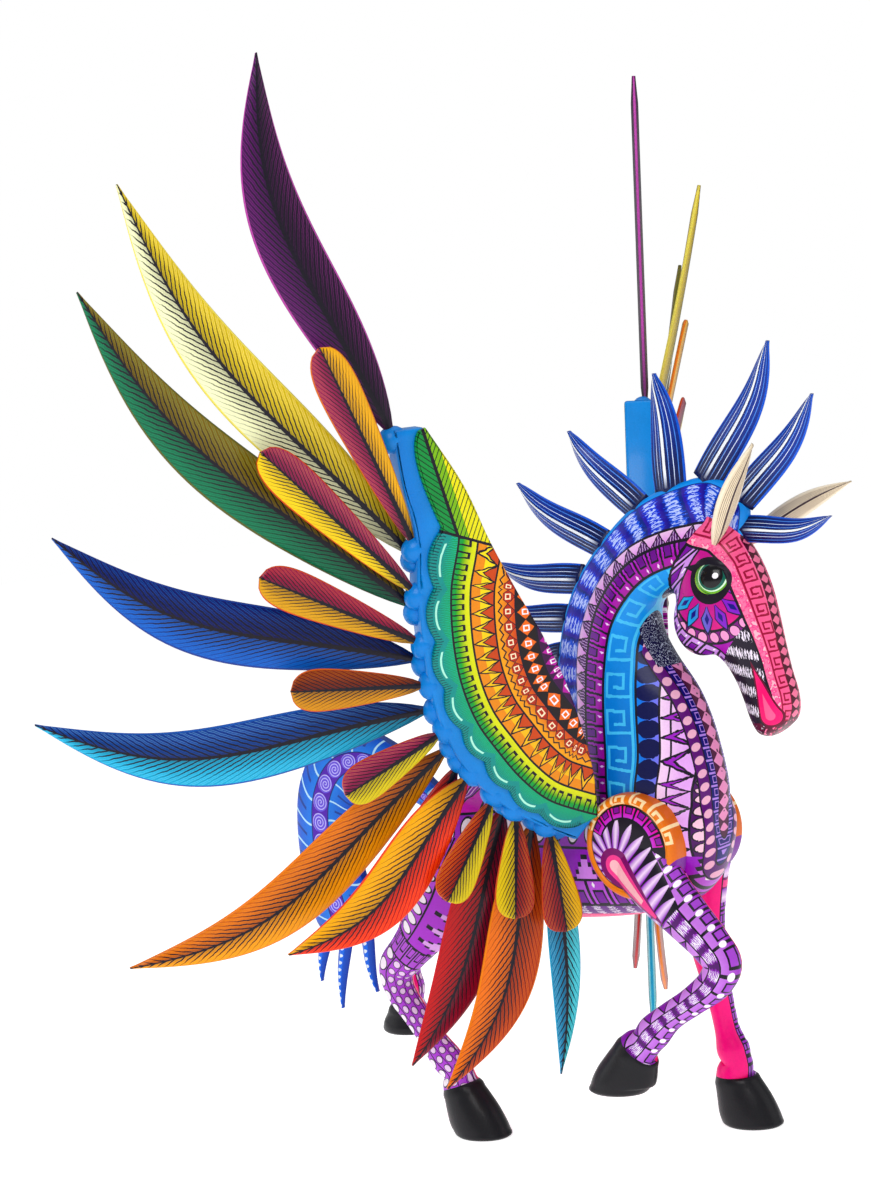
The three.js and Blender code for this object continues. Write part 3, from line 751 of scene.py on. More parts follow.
def reliefRecipe(tree):
    s, d, lobe = attribute(tree, "armRun")
    x, y = attribute(tree, "armFlat")[:2]
    canvas = Canvas(tree, use(tree, armBands, Run=s, Depth=d, Lobe=lobe)[0])
    tipLeaf(tree, canvas, x, y)
    return canvas.colour, None


def coreRecipe(tree):  # plain blue in front, the same bands on the back
    s, d, lobe = attribute(tree, "armRun")
    side = attribute(tree, "armFlat")[2]
    blue = mixed(tree, d.ramp(-14.0, 2.0), ink("1576cc"), ink("1d8ce0"))
    back = side.under(-7.6) * d.over(-3.0)
    colour = use(tree, armBands, Run=s, Depth=d, Lobe=lobe)[0]
    return mixed(tree, back, blue, colour), None


def noteArm(bm):  # run and depth from the line of the scallops, and the count of lobes
    run = bm.verts.layers.float_vector.new("armRun")
    flat = bm.verts.layers.float_vector.new("armFlat")
    ends = [armPoint((0.8, 1.0)), armPoint((0.74, 0.88))]
    line = curveThrough([*ends, *[armPoint(s) for s in scallops], armPoint((-0.08, -0.02))], 40)
    total = lengthsAlong(line)
    tree = kdtree.KDTree(len(line))
    for k, at in enumerate(line):
        tree.insert(at, k)
    tree.balance()
    for v in bm.verts:
        at = Vector((v.co.x, v.co.y, 0.0))
        near, k, distance = tree.find(at)
        ahead = line[min(k + 1, len(line) - 1)] - line[max(k - 1, 0)]
        sign = 1.0 if ahead.cross(at - near).z < 0 else -1.0
        v[run] = Vector((total[k], distance * sign, k / 40))
        v[flat] = Vector((v.co.x, v.co.y, v.co.z))


def armSheet(bm, farLine, nearLine, cellsAlong, cellsAcross, low, high, bevel):
    bmesh.ops.create_grid(bm, x_segments=cellsAcross, y_segments=cellsAlong, size=0.5)
    for v in bm.verts:
        w, t = v.co.x + 0.5, v.co.y + 0.5
        near = pointAt(nearLine, t)[0]
        far = farLine(t)
        v.co = near.lerp(far, w)
        v.co.z = low
    made = bmesh.ops.extrude_face_region(bm, geom=list(bm.faces))["geom"]
    top = [v for v in made if isinstance(v, bmesh.types.BMVert)]
    bmesh.ops.translate(bm, vec=(0, 0, high - low), verts=top)
    bmesh.ops.recalc_face_normals(bm, faces=bm.faces)
    sharp = [e for e in bm.edges if len(e.link_faces) == 2 and e.calc_face_angle() > 1.0]
    bmesh.ops.bevel(bm, geom=sharp, offset=bevel, segments=3, profile=0.5, affect="EDGES", material=-1)


def coreFar(t):
    return pointAt(armEdge[::-1], t)[0]


def lobeFar(t):  # the scalloped edge: each lobe swells between two notches, below a plain leaf tip
    notches = [armPoint(share) for share in scallops][::-1]
    plain = 0.22
    if t > 1 - plain:
        k = (t - 1 + plain) / plain
        shoulder = Vector((73.3, 190.6, 0))
        tip = innerEdge[-1] + Vector((3.2, -1.0, 0))
        return notches[-1].lerp(shoulder, k).lerp(shoulder.lerp(tip, k), k)
    at = t / (1 - plain) * (len(notches) - 1)
    k = min(int(at), len(notches) - 2)
    u = at - k
    chord = notches[k + 1] - notches[k]
    outwards = Vector((chord.y, -chord.x, 0)) * (0.34 * 2 * u * (1 - u))
    return notches[k].lerp(notches[k + 1], u) + outwards


def bosses(bm):  # rounded knobs where the feathers enter the edge
    for spec in (*primaries, *coverts):
        turn = math.radians(spec[1])
        centre = pointAt(armEdge, spec[0])[0] - Vector((math.cos(turn), math.sin(turn), 0)) * 2.2
        centre.z = layers[spec[5]] * 0.6
        place = Matrix.Translation(centre) @ Matrix.Rotation(turn, 4, "Z")
        matrix = place @ Matrix.Diagonal((6.6, 7.4, 6.0, 1))
        bmesh.ops.create_uvsphere(bm, u_segments=20, v_segments=12, radius=1.0, matrix=matrix)


armPaint = varnished("armReliefPaint", reliefRecipe, roughness=0.32, coat=0.45)
corePaint = varnished("armCorePaint", coreRecipe, roughness=0.32, coat=0.45)
coreBlue = varnished("armEdgePaint", lambda tree: (ink("1a80d6"), None))
featherPaints = [featherMaterial(f"primaryPaint{k + 1}", spec, 4.8) for k, spec in enumerate(primaries)]
covertPaints = [featherMaterial(f"covertPaint{k + 1}", spec, 3.6) for k, spec in enumerate(coverts)]
print("wing paints are mixed")


def featherPlace(spec):
    turn = math.radians(spec[1])
    tilt = math.radians(spec[3])
    flat = math.cos(tilt)
    along = Vector((flat * math.cos(turn), flat * math.sin(turn), math.sin(tilt)))
    root = pointAt(armEdge, spec[0])[0] + along * rootGap
    root.z = layers[spec[5]]
    return placeAt(root, along, upward)


def makeWing(side):
    body = f"{side}_wing"
    mirrored = side == "right"
    front = armSetup["core"] / 2
    bm = bmesh.new()
    armSheet(bm, coreFar, innerEdge, 64, 26, -front, front, armSetup["bevel"])
    noteArm(bm)
    start = Vector(tenonSetup["start"])
    inward = (wingMatrix.to_3x3().inverted() @ tenonSetup["along"]).normalized()
    dowel(bm, start, inward, tenonSetup["radius"], tenonSetup["reach"])
    bmesh.ops.transform(bm, matrix=wingMatrix, verts=bm.verts)
    finished(bm, f"{side}_wing_core", body, [f"{side}_wing_arm"], [corePaint], mirrored)
    bm = bmesh.new()
    armSheet(bm, lobeFar, innerEdge, 120, 24, front - 1, front + armSetup["relief"], 0.9)
    noteArm(bm)
    bmesh.ops.transform(bm, matrix=wingMatrix, verts=bm.verts)
    finished(bm, f"{side}_wing_relief", body, [], [armPaint], mirrored)
    bm = bmesh.new()
    bosses(bm)
    bmesh.ops.transform(bm, matrix=wingMatrix, verts=bm.verts)
    finished(bm, f"{side}_wing_bosses", body, [], [coreBlue], mirrored)
    for kind, setup, rows, paints in (
        ("primary", featherSetup, primaries, featherPaints), ("covert", covertSetup, coverts, covertPaints),
    ):
        for k, spec in enumerate(rows):
            size = setup.get("lastNarrowing", 1.0) if k == len(rows) - 1 else 1.0
            bm = bmesh.new()
            shape = {**setup, "length": spec[2], "bow": spec[4], "width": setup["width"] * size}
            blade(bm, wingMatrix @ featherPlace(spec), shape)
            node = f"{side}_{kind}_{k + 1}"
            slotName = f"primary_{k + 1}_paint" if kind == "primary" else "covert_paint"
            finished(bm, f"{node}_blade", body, [node], [paints[k]], mirrored)


for side in ("right", "left"):
    makeWing(side)
    print(side, "wing is made")

# the carving: trunk, neck, head and crest in one skin

carvingSetup = {
    "bodyWidth": 55, "headWidth": 35, "crestThickness": 13, "crestDepth": 22,
    "grain": 0.0013, "smoothings": 7,
}
torsoStations = [  # top x and z, bottom x and z, half width as a share
    (-93, 166, -91, 146, 0.12), (-87, 175, -84, 133, 0.34), (-75, 180, -72, 120, 0.45),
    (-58, 180, -56, 113, 0.49), (-36, 175, -36, 111, 0.49), (-12, 171, -12, 110, 0.49),
    (10, 173, 12, 111, 0.5), (32, 180, 34, 113, 0.5), (52, 184, 55, 117, 0.49),
    (68, 186, 70, 122, 0.46), (81, 181, 81, 132, 0.38), (90, 172, 88, 147, 0.22),
]
neckStations = [
    (14, 166, 80, 146, 0.42), (13, 184, 91, 168, 0.45), (12, 205, 90, 195, 0.42),
    (14, 228, 83, 221, 0.38), (18, 250, 71, 240, 0.34), (29, 272, 64, 253, 0.32),
    (46, 291, 65, 265, 0.3), (68, 304, 75, 271, 0.27), (92, 307, 88, 270, 0.24),
    (108, 300, 97, 268, 0.2),
]
headStations = [
    (102, 306, 80, 276, 0.34), (114, 301, 79, 260, 0.43), (122, 290, 85, 249, 0.5),
    (128, 274, 94, 243, 0.49), (131, 258, 102, 237, 0.42), (133, 245, 107, 228, 0.36),
    (135, 232, 110, 219, 0.34), (137, 221, 113, 209, 0.36), (136, 212, 117, 202, 0.33),
    (131, 206, 123, 201, 0.2),
]
crestPoints = [
    (121, 0, 296), (123, 0, 312), (107, 0, 325), (82, 0, 323), (59, 0, 315), (36, 0, 298),
    (17, 0, 277), (5, 0, 251), (1, 0, 227), (5, 0, 205), (16, 0, 188),
]
crestLine = curveThrough(crestPoints, 40)
keyPoints = [  # the middle of the blue key band down the neck, x, half width, z
    (98, 3.4, 283), (83, 4.3, 280), (70, 5, 274.5), (60, 5.6, 265), (54, 6.8, 253), (51.5, 8.5, 235.5),
    (50.5, 9.4, 216), (50, 9.5, 196), (48, 8.6, 181), (47, 8.4, 160), (46, 8.4, 120),
]
keyCurve = curveThrough(keyPoints, 30)
keyLine = [Vector((at.x, 0, at.z)) for at in keyCurve]
rowLine = curveThrough([  # between the triangles and the squares
    (104, 0, 296.5), (87, 0, 295), (69.5, 0, 291.5), (55, 0, 282.5), (42.5, 0, 270), (35, 0, 255.5),
    (30, 0, 235.5), (27, 0, 216), (26, 0, 196), (24.5, 0, 176), (24, 0, 150), (24, 0, 110),
], 30)
jawLine = curveThrough([(102, 0, 306), *[(s[2], 0, s[3]) for s in headStations]], 30)
frontLine = curveThrough([(s[0], 0, s[1]) for s in headStations], 30)
breastLine = curveThrough([(s[2], 0, s[3]) for s in neckStations[::-1]], 30)


def profileLoft(stations, width, sides=44):
    bm = bmesh.new()
    rings = []
    for topX, topZ, bottomX, bottomZ, share in curveThrough(stations, 4):
        top = Vector((topX, 0, topZ))
        bottom = Vector((bottomX, 0, bottomZ))
        along = top - bottom
        rings.append(ring(bm, (top + bottom) / 2, along.normalized(), along.length / 2,
                          sideways, share * width, sides))
    bridged(bm, rings)
    return bm


def crestLoft():
    bm = bmesh.new()
    half, wide = carvingSetup["crestDepth"] / 2, carvingSetup["crestThickness"] / 2
    rings = []
    for k in range(61):
        at, along = pointAt(crestLine, k / 60)
        inward = along.cross(sideways).normalized()
        rings.append(ring(bm, at + inward * half, inward, half, sideways, wide, 24))
    bridged(bm, rings)
    return bm


def lump(at, size, turn=0.0):  # an egg of wood left standing on the carving
    bm = bmesh.new()
    place = Matrix.Translation(at) @ Matrix.Rotation(math.radians(turn), 4, "Y")
    matrix = place @ Matrix.Diagonal((*size, 1))
    bmesh.ops.create_uvsphere(bm, u_segments=32, v_segments=20, radius=1.0, matrix=matrix)
    return bm


def carvedSkin():
    whole = bmesh.new()
    solids = [
        profileLoft(torsoStations, carvingSetup["bodyWidth"]),
        profileLoft(neckStations, carvingSetup["bodyWidth"]),
        profileLoft(headStations, carvingSetup["headWidth"]), crestLoft(),
    ]
    for side in (-1, 1):
        solids.append(lump((97, side * 9.5, 259), (16, 8.5, 18), 20))  # cheek
        solids.append(lump((129, side * 4.6, 213), (6.5, 4.2, 7.5), 12))  # nostril
        solids.append(lump((108, side * 11, 285), (12, 5.5, 4.5), 12))  # brow
        solids.append(lump((-62, side * 17, 148), (26, 11, 28), 20))  # haunch
    for part in solids:
        bmesh.ops.recalc_face_normals(part, faces=part.faces)
        mesh = bpy.data.meshes.new("part")
        part.to_mesh(mesh)
        part.free()
        whole.from_mesh(mesh)
        bpy.data.meshes.remove(mesh)
    bmesh.ops.translate(whole, vec=figureShift, verts=whole.verts)
    bmesh.ops.scale(whole, vec=(0.001, 0.001, 0.001), verts=whole.verts)
    mesh = bpy.data.meshes.new("rough")
    whole.to_mesh(mesh)
    whole.free()
    rough = bpy.data.objects.new("rough", mesh)
    bpy.context.scene.collection.objects.link(rough)
    remesh = rough.modifiers.new("skin", "REMESH")
    remesh.mode = "VOXEL"
    remesh.voxel_size = carvingSetup["grain"]
    depsgraph = bpy.context.evaluated_depsgraph_get()
    bm = bmesh.new()
    bm.from_object(rough, depsgraph)
    bpy.data.objects.remove(rough)
    bmesh.ops.scale(bm, vec=(1000, 1000, 1000), verts=bm.verts)
    bmesh.ops.translate(bm, vec=-figureShift, verts=bm.verts)
    for turn in range(carvingSetup["smoothings"]):
        bmesh.ops.smooth_vert(
            bm, verts=bm.verts, factor=0.5, use_axis_x=True, use_axis_y=True, use_axis_z=True)
    return bm


def treeOf(line):
    tree = kdtree.KDTree(len(line))
    for k, at in enumerate(line):
        tree.insert(at, k)
    tree.balance()
    return tree


def besideLine(line, tree, at):  # the nearest step of a line, and how far off it lies, signed by side
    near, k, distance = tree.find(at)
    ahead = line[min(k + 1, len(line) - 1)] - line[max(k - 1, 0)]
    return k, distance if ahead.cross(at - near).y > 0 else -distance


def noteCarving(bm):
    neck = bm.verts.layers.float_vector.new("neckPaint")
    face = bm.verts.layers.float_vector.new("facePaint")
    edge = bm.verts.layers.float_vector.new("edgePaint")
    row = bm.verts.layers.float_vector.new("neckRuns")
    crestTree, keyTree, rowTree = treeOf(crestLine), treeOf(keyLine), treeOf(rowLine)
    frontTree, jawTree, breastTree = treeOf(frontLine), treeOf(jawLine), treeOf(breastLine)
    crestRun, keyRun = lengthsAlong(crestLine), lengthsAlong(keyLine)
    rowRun, frontRun = lengthsAlong(rowLine), lengthsAlong(frontLine)
    for v in bm.verts:
        flat = Vector((v.co.x, 0, v.co.z))
        k, depth = crestTree.find(flat)[1:]
        breast = breastTree.find(v.co)[2]
        c, side = besideLine(keyLine, keyTree, flat)
        aside = -side
        half = keyCurve[c].y
        if aside < -half:
            level = 43.4 + (aside + half) * 0.82
        elif aside > half:
            level = 59.6 + (aside - half) * 1.2
        else:
            level = 51.5 + aside / half * 8.1
        w = rowTree.find(flat)[1]
        v[neck] = Vector((depth, level, breast))
        v[row] = Vector((crestRun[k], rowRun[w], keyRun[c]))
        f, reach = frontTree.find(v.co)[1:]
        v[face] = Vector((frontRun[f], reach, -besideLine(jawLine, jawTree, flat)[1]))
        v[edge] = Vector((besideLine(frontLine, frontTree, flat)[1], abs(v.co.y), 0.0))


neckRows = {  # how far back to front each painted row lies on the neck, mm
    "key": (43.9, 59.1), "ovals": (60.4, 72.4), "triangles": (73.4, 91.0), "drops": (92.2, 101.0),
}


def crestPaint(tree, canvas, run, keyRun, depth, d, z):
    outer = keyRun.ramp(15.0, 75.0) * -4.2 + 29.4
    zone = d.under(outer) * depth.under(31.0) * z.over(198.0)
    wave = run / 14.0 + depth * 0.006
    light, dark = use(tree, tufts, Along=wave, Across=depth / 22.0, Fine=11.0)
    canvas.paint(zone, ink("1a50d8"))
    canvas.paint(zone * dark * 0.9, ink("0b1a70"))
    canvas.paint(zone * (wave * 0.5).fraction().ramp(0.3, 0.6) * 0.2, ink("8a6ae0"))
    canvas.paint(zone * light * depth.over(3.6), ink("c0cefc"))
    canvas.paint(zone * depth.under(3.2), ink("1690f0"))
    canvas.paint(zone * depth.between(3.0, 3.5), ink("0c2f8c"))
    canvas.paint(zone * (outer - d).under(1.0), black)


def neckBands(tree, canvas, row, run, d):
    outer = run.ramp(15.0, 75.0) * -4.2 + 29.4
    middle = run.ramp(30.0, 130.0) * -2.4 + 34.2
    v = (d - outer) / (middle - outer)
    zone = v.between(0.0, 1.0)
    pale = mixed(tree, v, ink("f3cdf0"), ink("d98ae0"))
    paintTriangles(canvas, zone, row / 8.4, v, pale, ink("4a1a5c"), ink("c9a6d8"), black, 6.0)
    v = (d - middle) / (middle * -1.0 + 42.8)
    zone = v.between(0.0, 1.0)
    plum = mixed(tree, v, ink("b257c8"), ink("a01c94"))
    paintSquares(canvas, zone, row / 8.2, v, plum, ink("6b2788"), ink("f3d3f3"))
    canvas.paint(v.size().under(0.07).larger(d.between(42.6, 43.9)), black)
    v, zone = band(d, *neckRows["key"])
    canvas.paint(zone, mixed(tree, run.ramp(10.0, 130.0), ink("1f96ea"), ink("1270c8")))
    canvas.paint(zone * use(tree, greekKey, Along=run / 17.6, Across=v, Half=0.042)[0], ink("6cc4f0"))
    canvas.paint(zone * (v - 0.5).size().over(0.465), ink("2f9ae4"))
    canvas.paint(d.between(59.1, 60.4), black)
    v, zone = band(d, *neckRows["ovals"])
    lilac = mixed(tree, v, ink("2f7fe0"), ink("8f8cf0"))
    paintOvals(canvas, zone, run / 8.8, v, (0.49, 0.58), ink("0b1048"), lilac)
    canvas.paint(d.between(72.2, 73.4), black)
    canvas.paint(d.over(73.4), ink("6a2c88"))
    v, zone = band(d, *neckRows["triangles"])
    inside, line = use(tree, triangles, Along=run / 9.6, Across=v, Hatches=5.0)[:2]
    canvas.paint(zone, ink("a04cc0"))
    canvas.paint(zone * inside, mixed(tree, v, ink("f8d8f6"), ink("d494e4")))
    turned = v.opposite() * 1.7
    nested, nestedLine = use(tree, triangles, Along=run / 9.6 + 0.5, Across=turned, Hatches=5.0)[:2]
    canvas.paint(zone * nested, ink("e4aef0"))
    canvas.paint(zone * line.larger(nestedLine).larger((v - 0.3).size().under(0.03) * inside), black)
    canvas.paint(d.between(91.0, 92.2), black)
    v, zone = band(d, *neckRows["drops"])
    paintOvals(canvas, zone, run / 6.0, v, (0.36, 0.4), ink("f2c8dc"), ink("4a1a5c"), black)
    canvas.paint(d.between(101.0, 102.0), black)


def breastBands(tree, canvas, d, g, z):
    front = d.over(62.0)
    row = z / 8.0
    canvas.paint(front * g.under(14.6), black)
    v, zone = band(g, 8.8, 13.9)
    paintOvals(canvas, front * zone, row * 1.25 + g * 0.05, v, (0.3, 0.44), ink("eab4cc"), ink("5a1e6e"))
    v, zone = band(g, 4.6, 8.2)
    paintSquares(canvas, front * zone, row * 1.3, v, ink("22206a"), line=ink("b48fe0"))
    v, zone = band(g, 0.6, 4.2)
    paintTriangles(canvas, front * zone, row * 1.2, v, ink("e89ac4"), ink("4a1238"))
    curls = noise(tree, joined(tree, z, g, d), 0.42, 1.0)
    # painted shade under the jaw: a dark ground, with the patch's own grey speckle painted over it
    shadedThroat = d.over(58.0) * z.over(237.0) * g.under(11.0)
    canvas.paint(shadedThroat, ink("15123a"))
    canvas.paint(shadedThroat * (curls * 5.0).fraction().under(0.2), ink("b4b9cc"))


def trunkBands(tree, canvas, x, z):
    zone = (z + x * 0.3).under(171.0)
    run = x / 11.0
    canvas.paint(zone, ink("a04fc0"))
    v, inBand = band(z, 152.0, 167.0)
    paintOvals(canvas, zone * inBand, run, v, (0.3, 0.36), ink("f8ecf8"), line=black)
    v, inBand = band(z, 136.0, 151.0)
    above, line = use(tree, stairs, Along=run * 0.7, Across=v, Steps=4.0)
    canvas.paint(zone * inBand, mixed(tree, above, ink("cf8fe4"), ink("9a3fc0")))
    canvas.paint(zone * inBand * line, black)
    v, inBand = band(z, 122.0, 135.0)
    paintSquares(canvas, zone * inBand, run, v, ink("b868d4"), ink("7a2c9c"), white)
    v, inBand = band(z, 167.5, 186.0)
    paintTriangles(canvas, zone * inBand, run, v, ink("d94fc0"), ink("8a2aa8"), ink("e9b6ec"), black)
    for level in (121.4, 135.5, 151.5, 167.2):
        canvas.paint(zone * (z - level).size().under(0.65), black)
    light = use(tree, tufts, Along=run * 1.3, Across=z / 14.0, Fine=11.0)[0]
    canvas.paint(zone * z.under(120.8), ink("6a3a86"))
    canvas.paint(zone * z.under(120.8) * light, ink("e6dcec"))
    canvas.paint(zone * z.under(115.5) * x.under(64.0), ink("ff2f86"))


def faceRecipe(tree, canvas, x, y, z):
    r, e, j = attribute(tree, "facePaint")
    q, out = attribute(tree, "edgePaint")[:2]
    head = j.over(0.0) * q.over(-1.0)
    canvas.paint(head, ink("c02a8c"))
    mottle = noise(tree, joined(tree, x, y, z), 0.5, 3.0)
    canvas.paint(head * (z - x * 0.3).ramp(205.0, 235.0).opposite(), ink("ff2a80"))
    petalX, petalZ = x - 106.0, z - 275.0
    angle = petalZ.run("ARCTAN2", petalX) / 6.2832 + 1.0
    away = apart(petalX, petalZ)
    v, arc = band(away, 21.4, 27.4)
    paintOvals(canvas, head * arc, angle * 26.0, v, (0.36, 0.4), ink("f2a6d4"), ink("7a1c7c"), black)
    canvas.paint(head * away.over(27.4), ink("a83cae"))
    canvas.paint(head * (away - 21.2).size().under(0.6).larger((away - 27.4).size().under(0.6)), black)
    petal = (angle * 13.0).fraction()
    leaf = (petal - 0.5).size() + (away - 15.5).size() * 0.055
    lower = petalZ.under(-3.0) * away.over(9.5)
    canvas.paint(head * lower * leaf.under(0.44), ink("16143c"))
    petalPaint = mixed(tree, petalX.ramp(-14.0, 4.0), ink("3fa4dc"), ink("8a4cc4"))
    canvas.paint(head * lower * leaf.under(0.36), petalPaint)
    canvas.paint(head * lower * leaf.under(0.16), ink("2c2a7c"))
    chin = (x - z).over(-133.0)
    light = use(tree, tufts, Along=z / 9.0 + x * 0.03, Across=x / 12.0, Fine=9.0)[0]
    canvas.paint(head * chin, ink("1c1426"))
    canvas.paint(head * chin * light, ink("f3e9fa"))
    v, zone = band(j, 1.0, 7.6)
    rim = head * zone * chin.opposite()
    paintSquares(canvas, rim, z / 7.5 - x * 0.08, v, ink("cf9be4"), ink("7a2c9c"), white)
    canvas.paint(head * j.between(7.6, 8.7) * chin.opposite(), black)
    canvas.paint(j.between(-0.2, 1.1) * q.over(-1.0), black)
    limit = r.ramp(42.0, 84.0) * -5.2 + 17.4
    share = e / limit
    face = head * share.under(1.0)
    canvas.paint(head * share.between(0.97, 1.07), black)
    canvas.paint(face, mixed(tree, mottle.ramp(0.38, 0.62), ink("ff92b4"), ink("f65c94")))
    canvas.paint(face * mottle.over(0.58), ink("ffc2d0"))
    v, zone = band(share, 0.24, 0.76)
    canvas.paint(face * zone, ink("fa7ca2"))
    canvas.paint(face * zone * use(tree, greekKey, Along=r / 8.6, Across=v, Half=0.055)[0], ink("9c1038"))
    canvas.paint(face * e.between(3.0, 3.6), ink("5a0c28"))
    paintTriangles(canvas, face * e.under(3.1), r / 5.0, e / 3.1, ink("f28aa8"), ink("4a0c24"))
    muzzle = z.under(209.0)
    canvas.paint(head * muzzle * mottle.over(0.42), ink("5a1030"))
    nearX, nearZ = x - 129.0, z - 212.5
    rise = nearX * -0.26 + nearZ * 0.965
    wide = (nearX * 0.965 + nearZ * 0.26).size()
    lower = rise.smaller(0.0)
    lip = apart(wide, lower) + rise.larger(0.0) * 0.2
    side = y.size().over(1.6)
    canvas.paint(head * side * lip.under(5.4), ink("6a0c30"))
    canvas.paint(head * side * lip.under(4.6), ink("fb3f7c"))
    canvas.paint(head * side * lip.under(2.2), ink("ff7fa4"))
    eyeX, eyeZ = x - 107.0, z - 277.5
    socket = apart(eyeX, eyeZ)
    canvas.paint(out.over(7.0) * socket.under(11.0), black)
    lash = (eyeZ - eyeX * -0.12 - 5.0).size() - (eyeX * -1.0 - 8.0) * -0.12 - 1.3
    canvas.paint(out.over(5.0) * eyeX.between(-20.0, -6.0) * lash.under((eyeX + 20.0) * 0.16 - 1.2), black)


def carvingRecipe(tree):
    x, y, z = objectPlace(tree)
    depth, d, g = attribute(tree, "neckPaint")
    crestRun, row, run = attribute(tree, "neckRuns")
    canvas = Canvas(tree, ink("8e44b4"))
    neckBands(tree, canvas, row, run, d)
    trunkBands(tree, canvas, x, z)
    breastBands(tree, canvas, d, g, z)
    crestPaint(tree, canvas, crestRun, run, depth, d, z)
    faceRecipe(tree, canvas, x, y, z)
    return canvas.colour, None


carvingPaint = varnished("carvingPaint", carvingRecipe, roughness=0.36, coat=0.4, relief=0.3)
skin = carvedSkin()
noteCarving(skin)
finished(skin, "carving_skin", "figure", ["carved_body"], [carvingPaint])
print("carving is skinned and painted")

eyeSetup = {"at": (107.2, 11.6, 277.4), "size": (9.9, 7.6, 9.4), "pupil": 5.4}


def eyeRecipe(tree):
    x, z = objectPlace(tree)[::2]
    dx, dz = x - (eyeSetup["at"][0] - 0.4), z - eyeSetup["at"][2]
    ball = apart(dx, dz)
    pupil = apart(dx - 2.6, dz - 2.2)
    glint = apart(dx - 5.0, dz - 2.4)
    canvas = Canvas(tree, mixed(tree, pupil.ramp(eyeSetup["pupil"], 11.5), ink("2f8a3a"), ink("b4e64a")))
    canvas.paint(pupil.between(8.2, 8.7), ink("1c6a34"))
    canvas.paint(pupil.between(6.6, 7.2), ink("d8f6d8"))
    canvas.paint(pupil.under(6.5), ink("0f5a4c"))
    canvas.paint(pupil.under(eyeSetup["pupil"]), ink("08060c"))
    canvas.paint(ball.over(9.0 + dz * -0.06), black)
    canvas.paint(glint.under(1.35), white)
    return canvas.colour, None


eyePaint = varnished("eyePaint", eyeRecipe, roughness=0.16, coat=0.9, relief=0.05)
for side, sign in (("right", -1), ("left", 1)):
    x, y, z = eyeSetup["at"]
    finished(lump((x, y * sign, z), eyeSetup["size"]), f"{side}_eye", "figure", [], [eyePaint])

# legs

hoofSetup = {"length": 34, "width": 24, "stations": 5, "steps": 6}


def hoofEnd(x, z, y, height, slant):
    length, width = hoofSetup["length"], hoofSetup["width"]
    return [
        (x - slant, z + height, y, length * 0.31, width * 0.38),
        (x - slant * 0.42, z + height * 0.42, y, length * 0.455, width * 0.465),
        (x - slant * 0.1, z + 3.4, y, length * 0.49, width * 0.49),
        (x, z + 1.2, y, length * 0.485, width * 0.485),
        (x, z, y, length * 0.44, width * 0.44),
    ]


legs = {
    "right_foreleg": (-1, True, [
        (48, 160, 22, 12, 7), (55, 149, 26, 18, 9), (67, 134, 28, 15.5, 10), (81, 119, 28, 12.5, 9.5),
        (93, 106, 28, 10.5, 8.5), (98, 98, 28, 9.5, 8.5), (93, 89, 28, 8.5, 8), (79, 79, 28, 7, 7),
        (64, 70, 28, 7, 7), (54, 62, 28, 8.5, 8), (48, 56, 28, 8, 7.5), *hoofEnd(29, 31, 28, 22, -15)]),
    "left_foreleg": (1, True, [
        (55, 160, 22, 12, 7), (57, 146, 26, 17, 9), (55, 127, 28, 13, 9.5), (53, 108, 29, 10, 8.5),
        (52, 90, 29, 9, 8.5), (53, 79, 29, 8, 7.5), (55, 62, 30, 6.5, 6.5), (57, 47, 30, 6.5, 6.5),
        (59, 38, 30, 8.5, 8), (61, 31, 30, 7.5, 7.5), *hoofEnd(66, 0, 30, 25, 7)]),
    "right_hind_leg": (-1, False, [
        (-56, 156, 20, 14, 7), (-61, 143, 24, 20, 9), (-69, 126, 26, 18, 10), (-82, 109, 28, 14, 9.5),
        (-97, 95, 28, 11, 8.5), (-107, 85, 28, 10, 8), (-106, 74, 28, 8.5, 7.5), (-97, 61, 28, 7, 7),
        (-88, 49, 28, 7, 7), (-80, 39, 28, 8.5, 8), (-73, 32, 28, 8, 7.5), *hoofEnd(-61, 0, 28, 26, 11)]),
    "left_hind_leg": (1, False, [
        (-56, 156, 20, 14, 7), (-64, 143, 24, 20, 9), (-78, 126, 26, 17, 10), (-98, 111, 27, 13, 9),
        (-120, 102, 27, 10, 8.5), (-134, 97, 27, 10, 8), (-143, 87, 27, 8.5, 7.5), (-147, 76, 27, 7, 7),
        (-148, 67, 27, 7, 7), (-148, 59, 27, 8.5, 8), (-149, 53, 27, 8, 7.5),
        *hoofEnd(-152, 34, 27, 15, -2)]),
}
discSetup = {"x": 54, "z": 153, "radius": 26, "height": 7}
teardrop = {"x": 46.5, "z": 144.5, "alongX": 0.68, "alongZ": -0.73, "radius": 9.0, "length": 38.0}


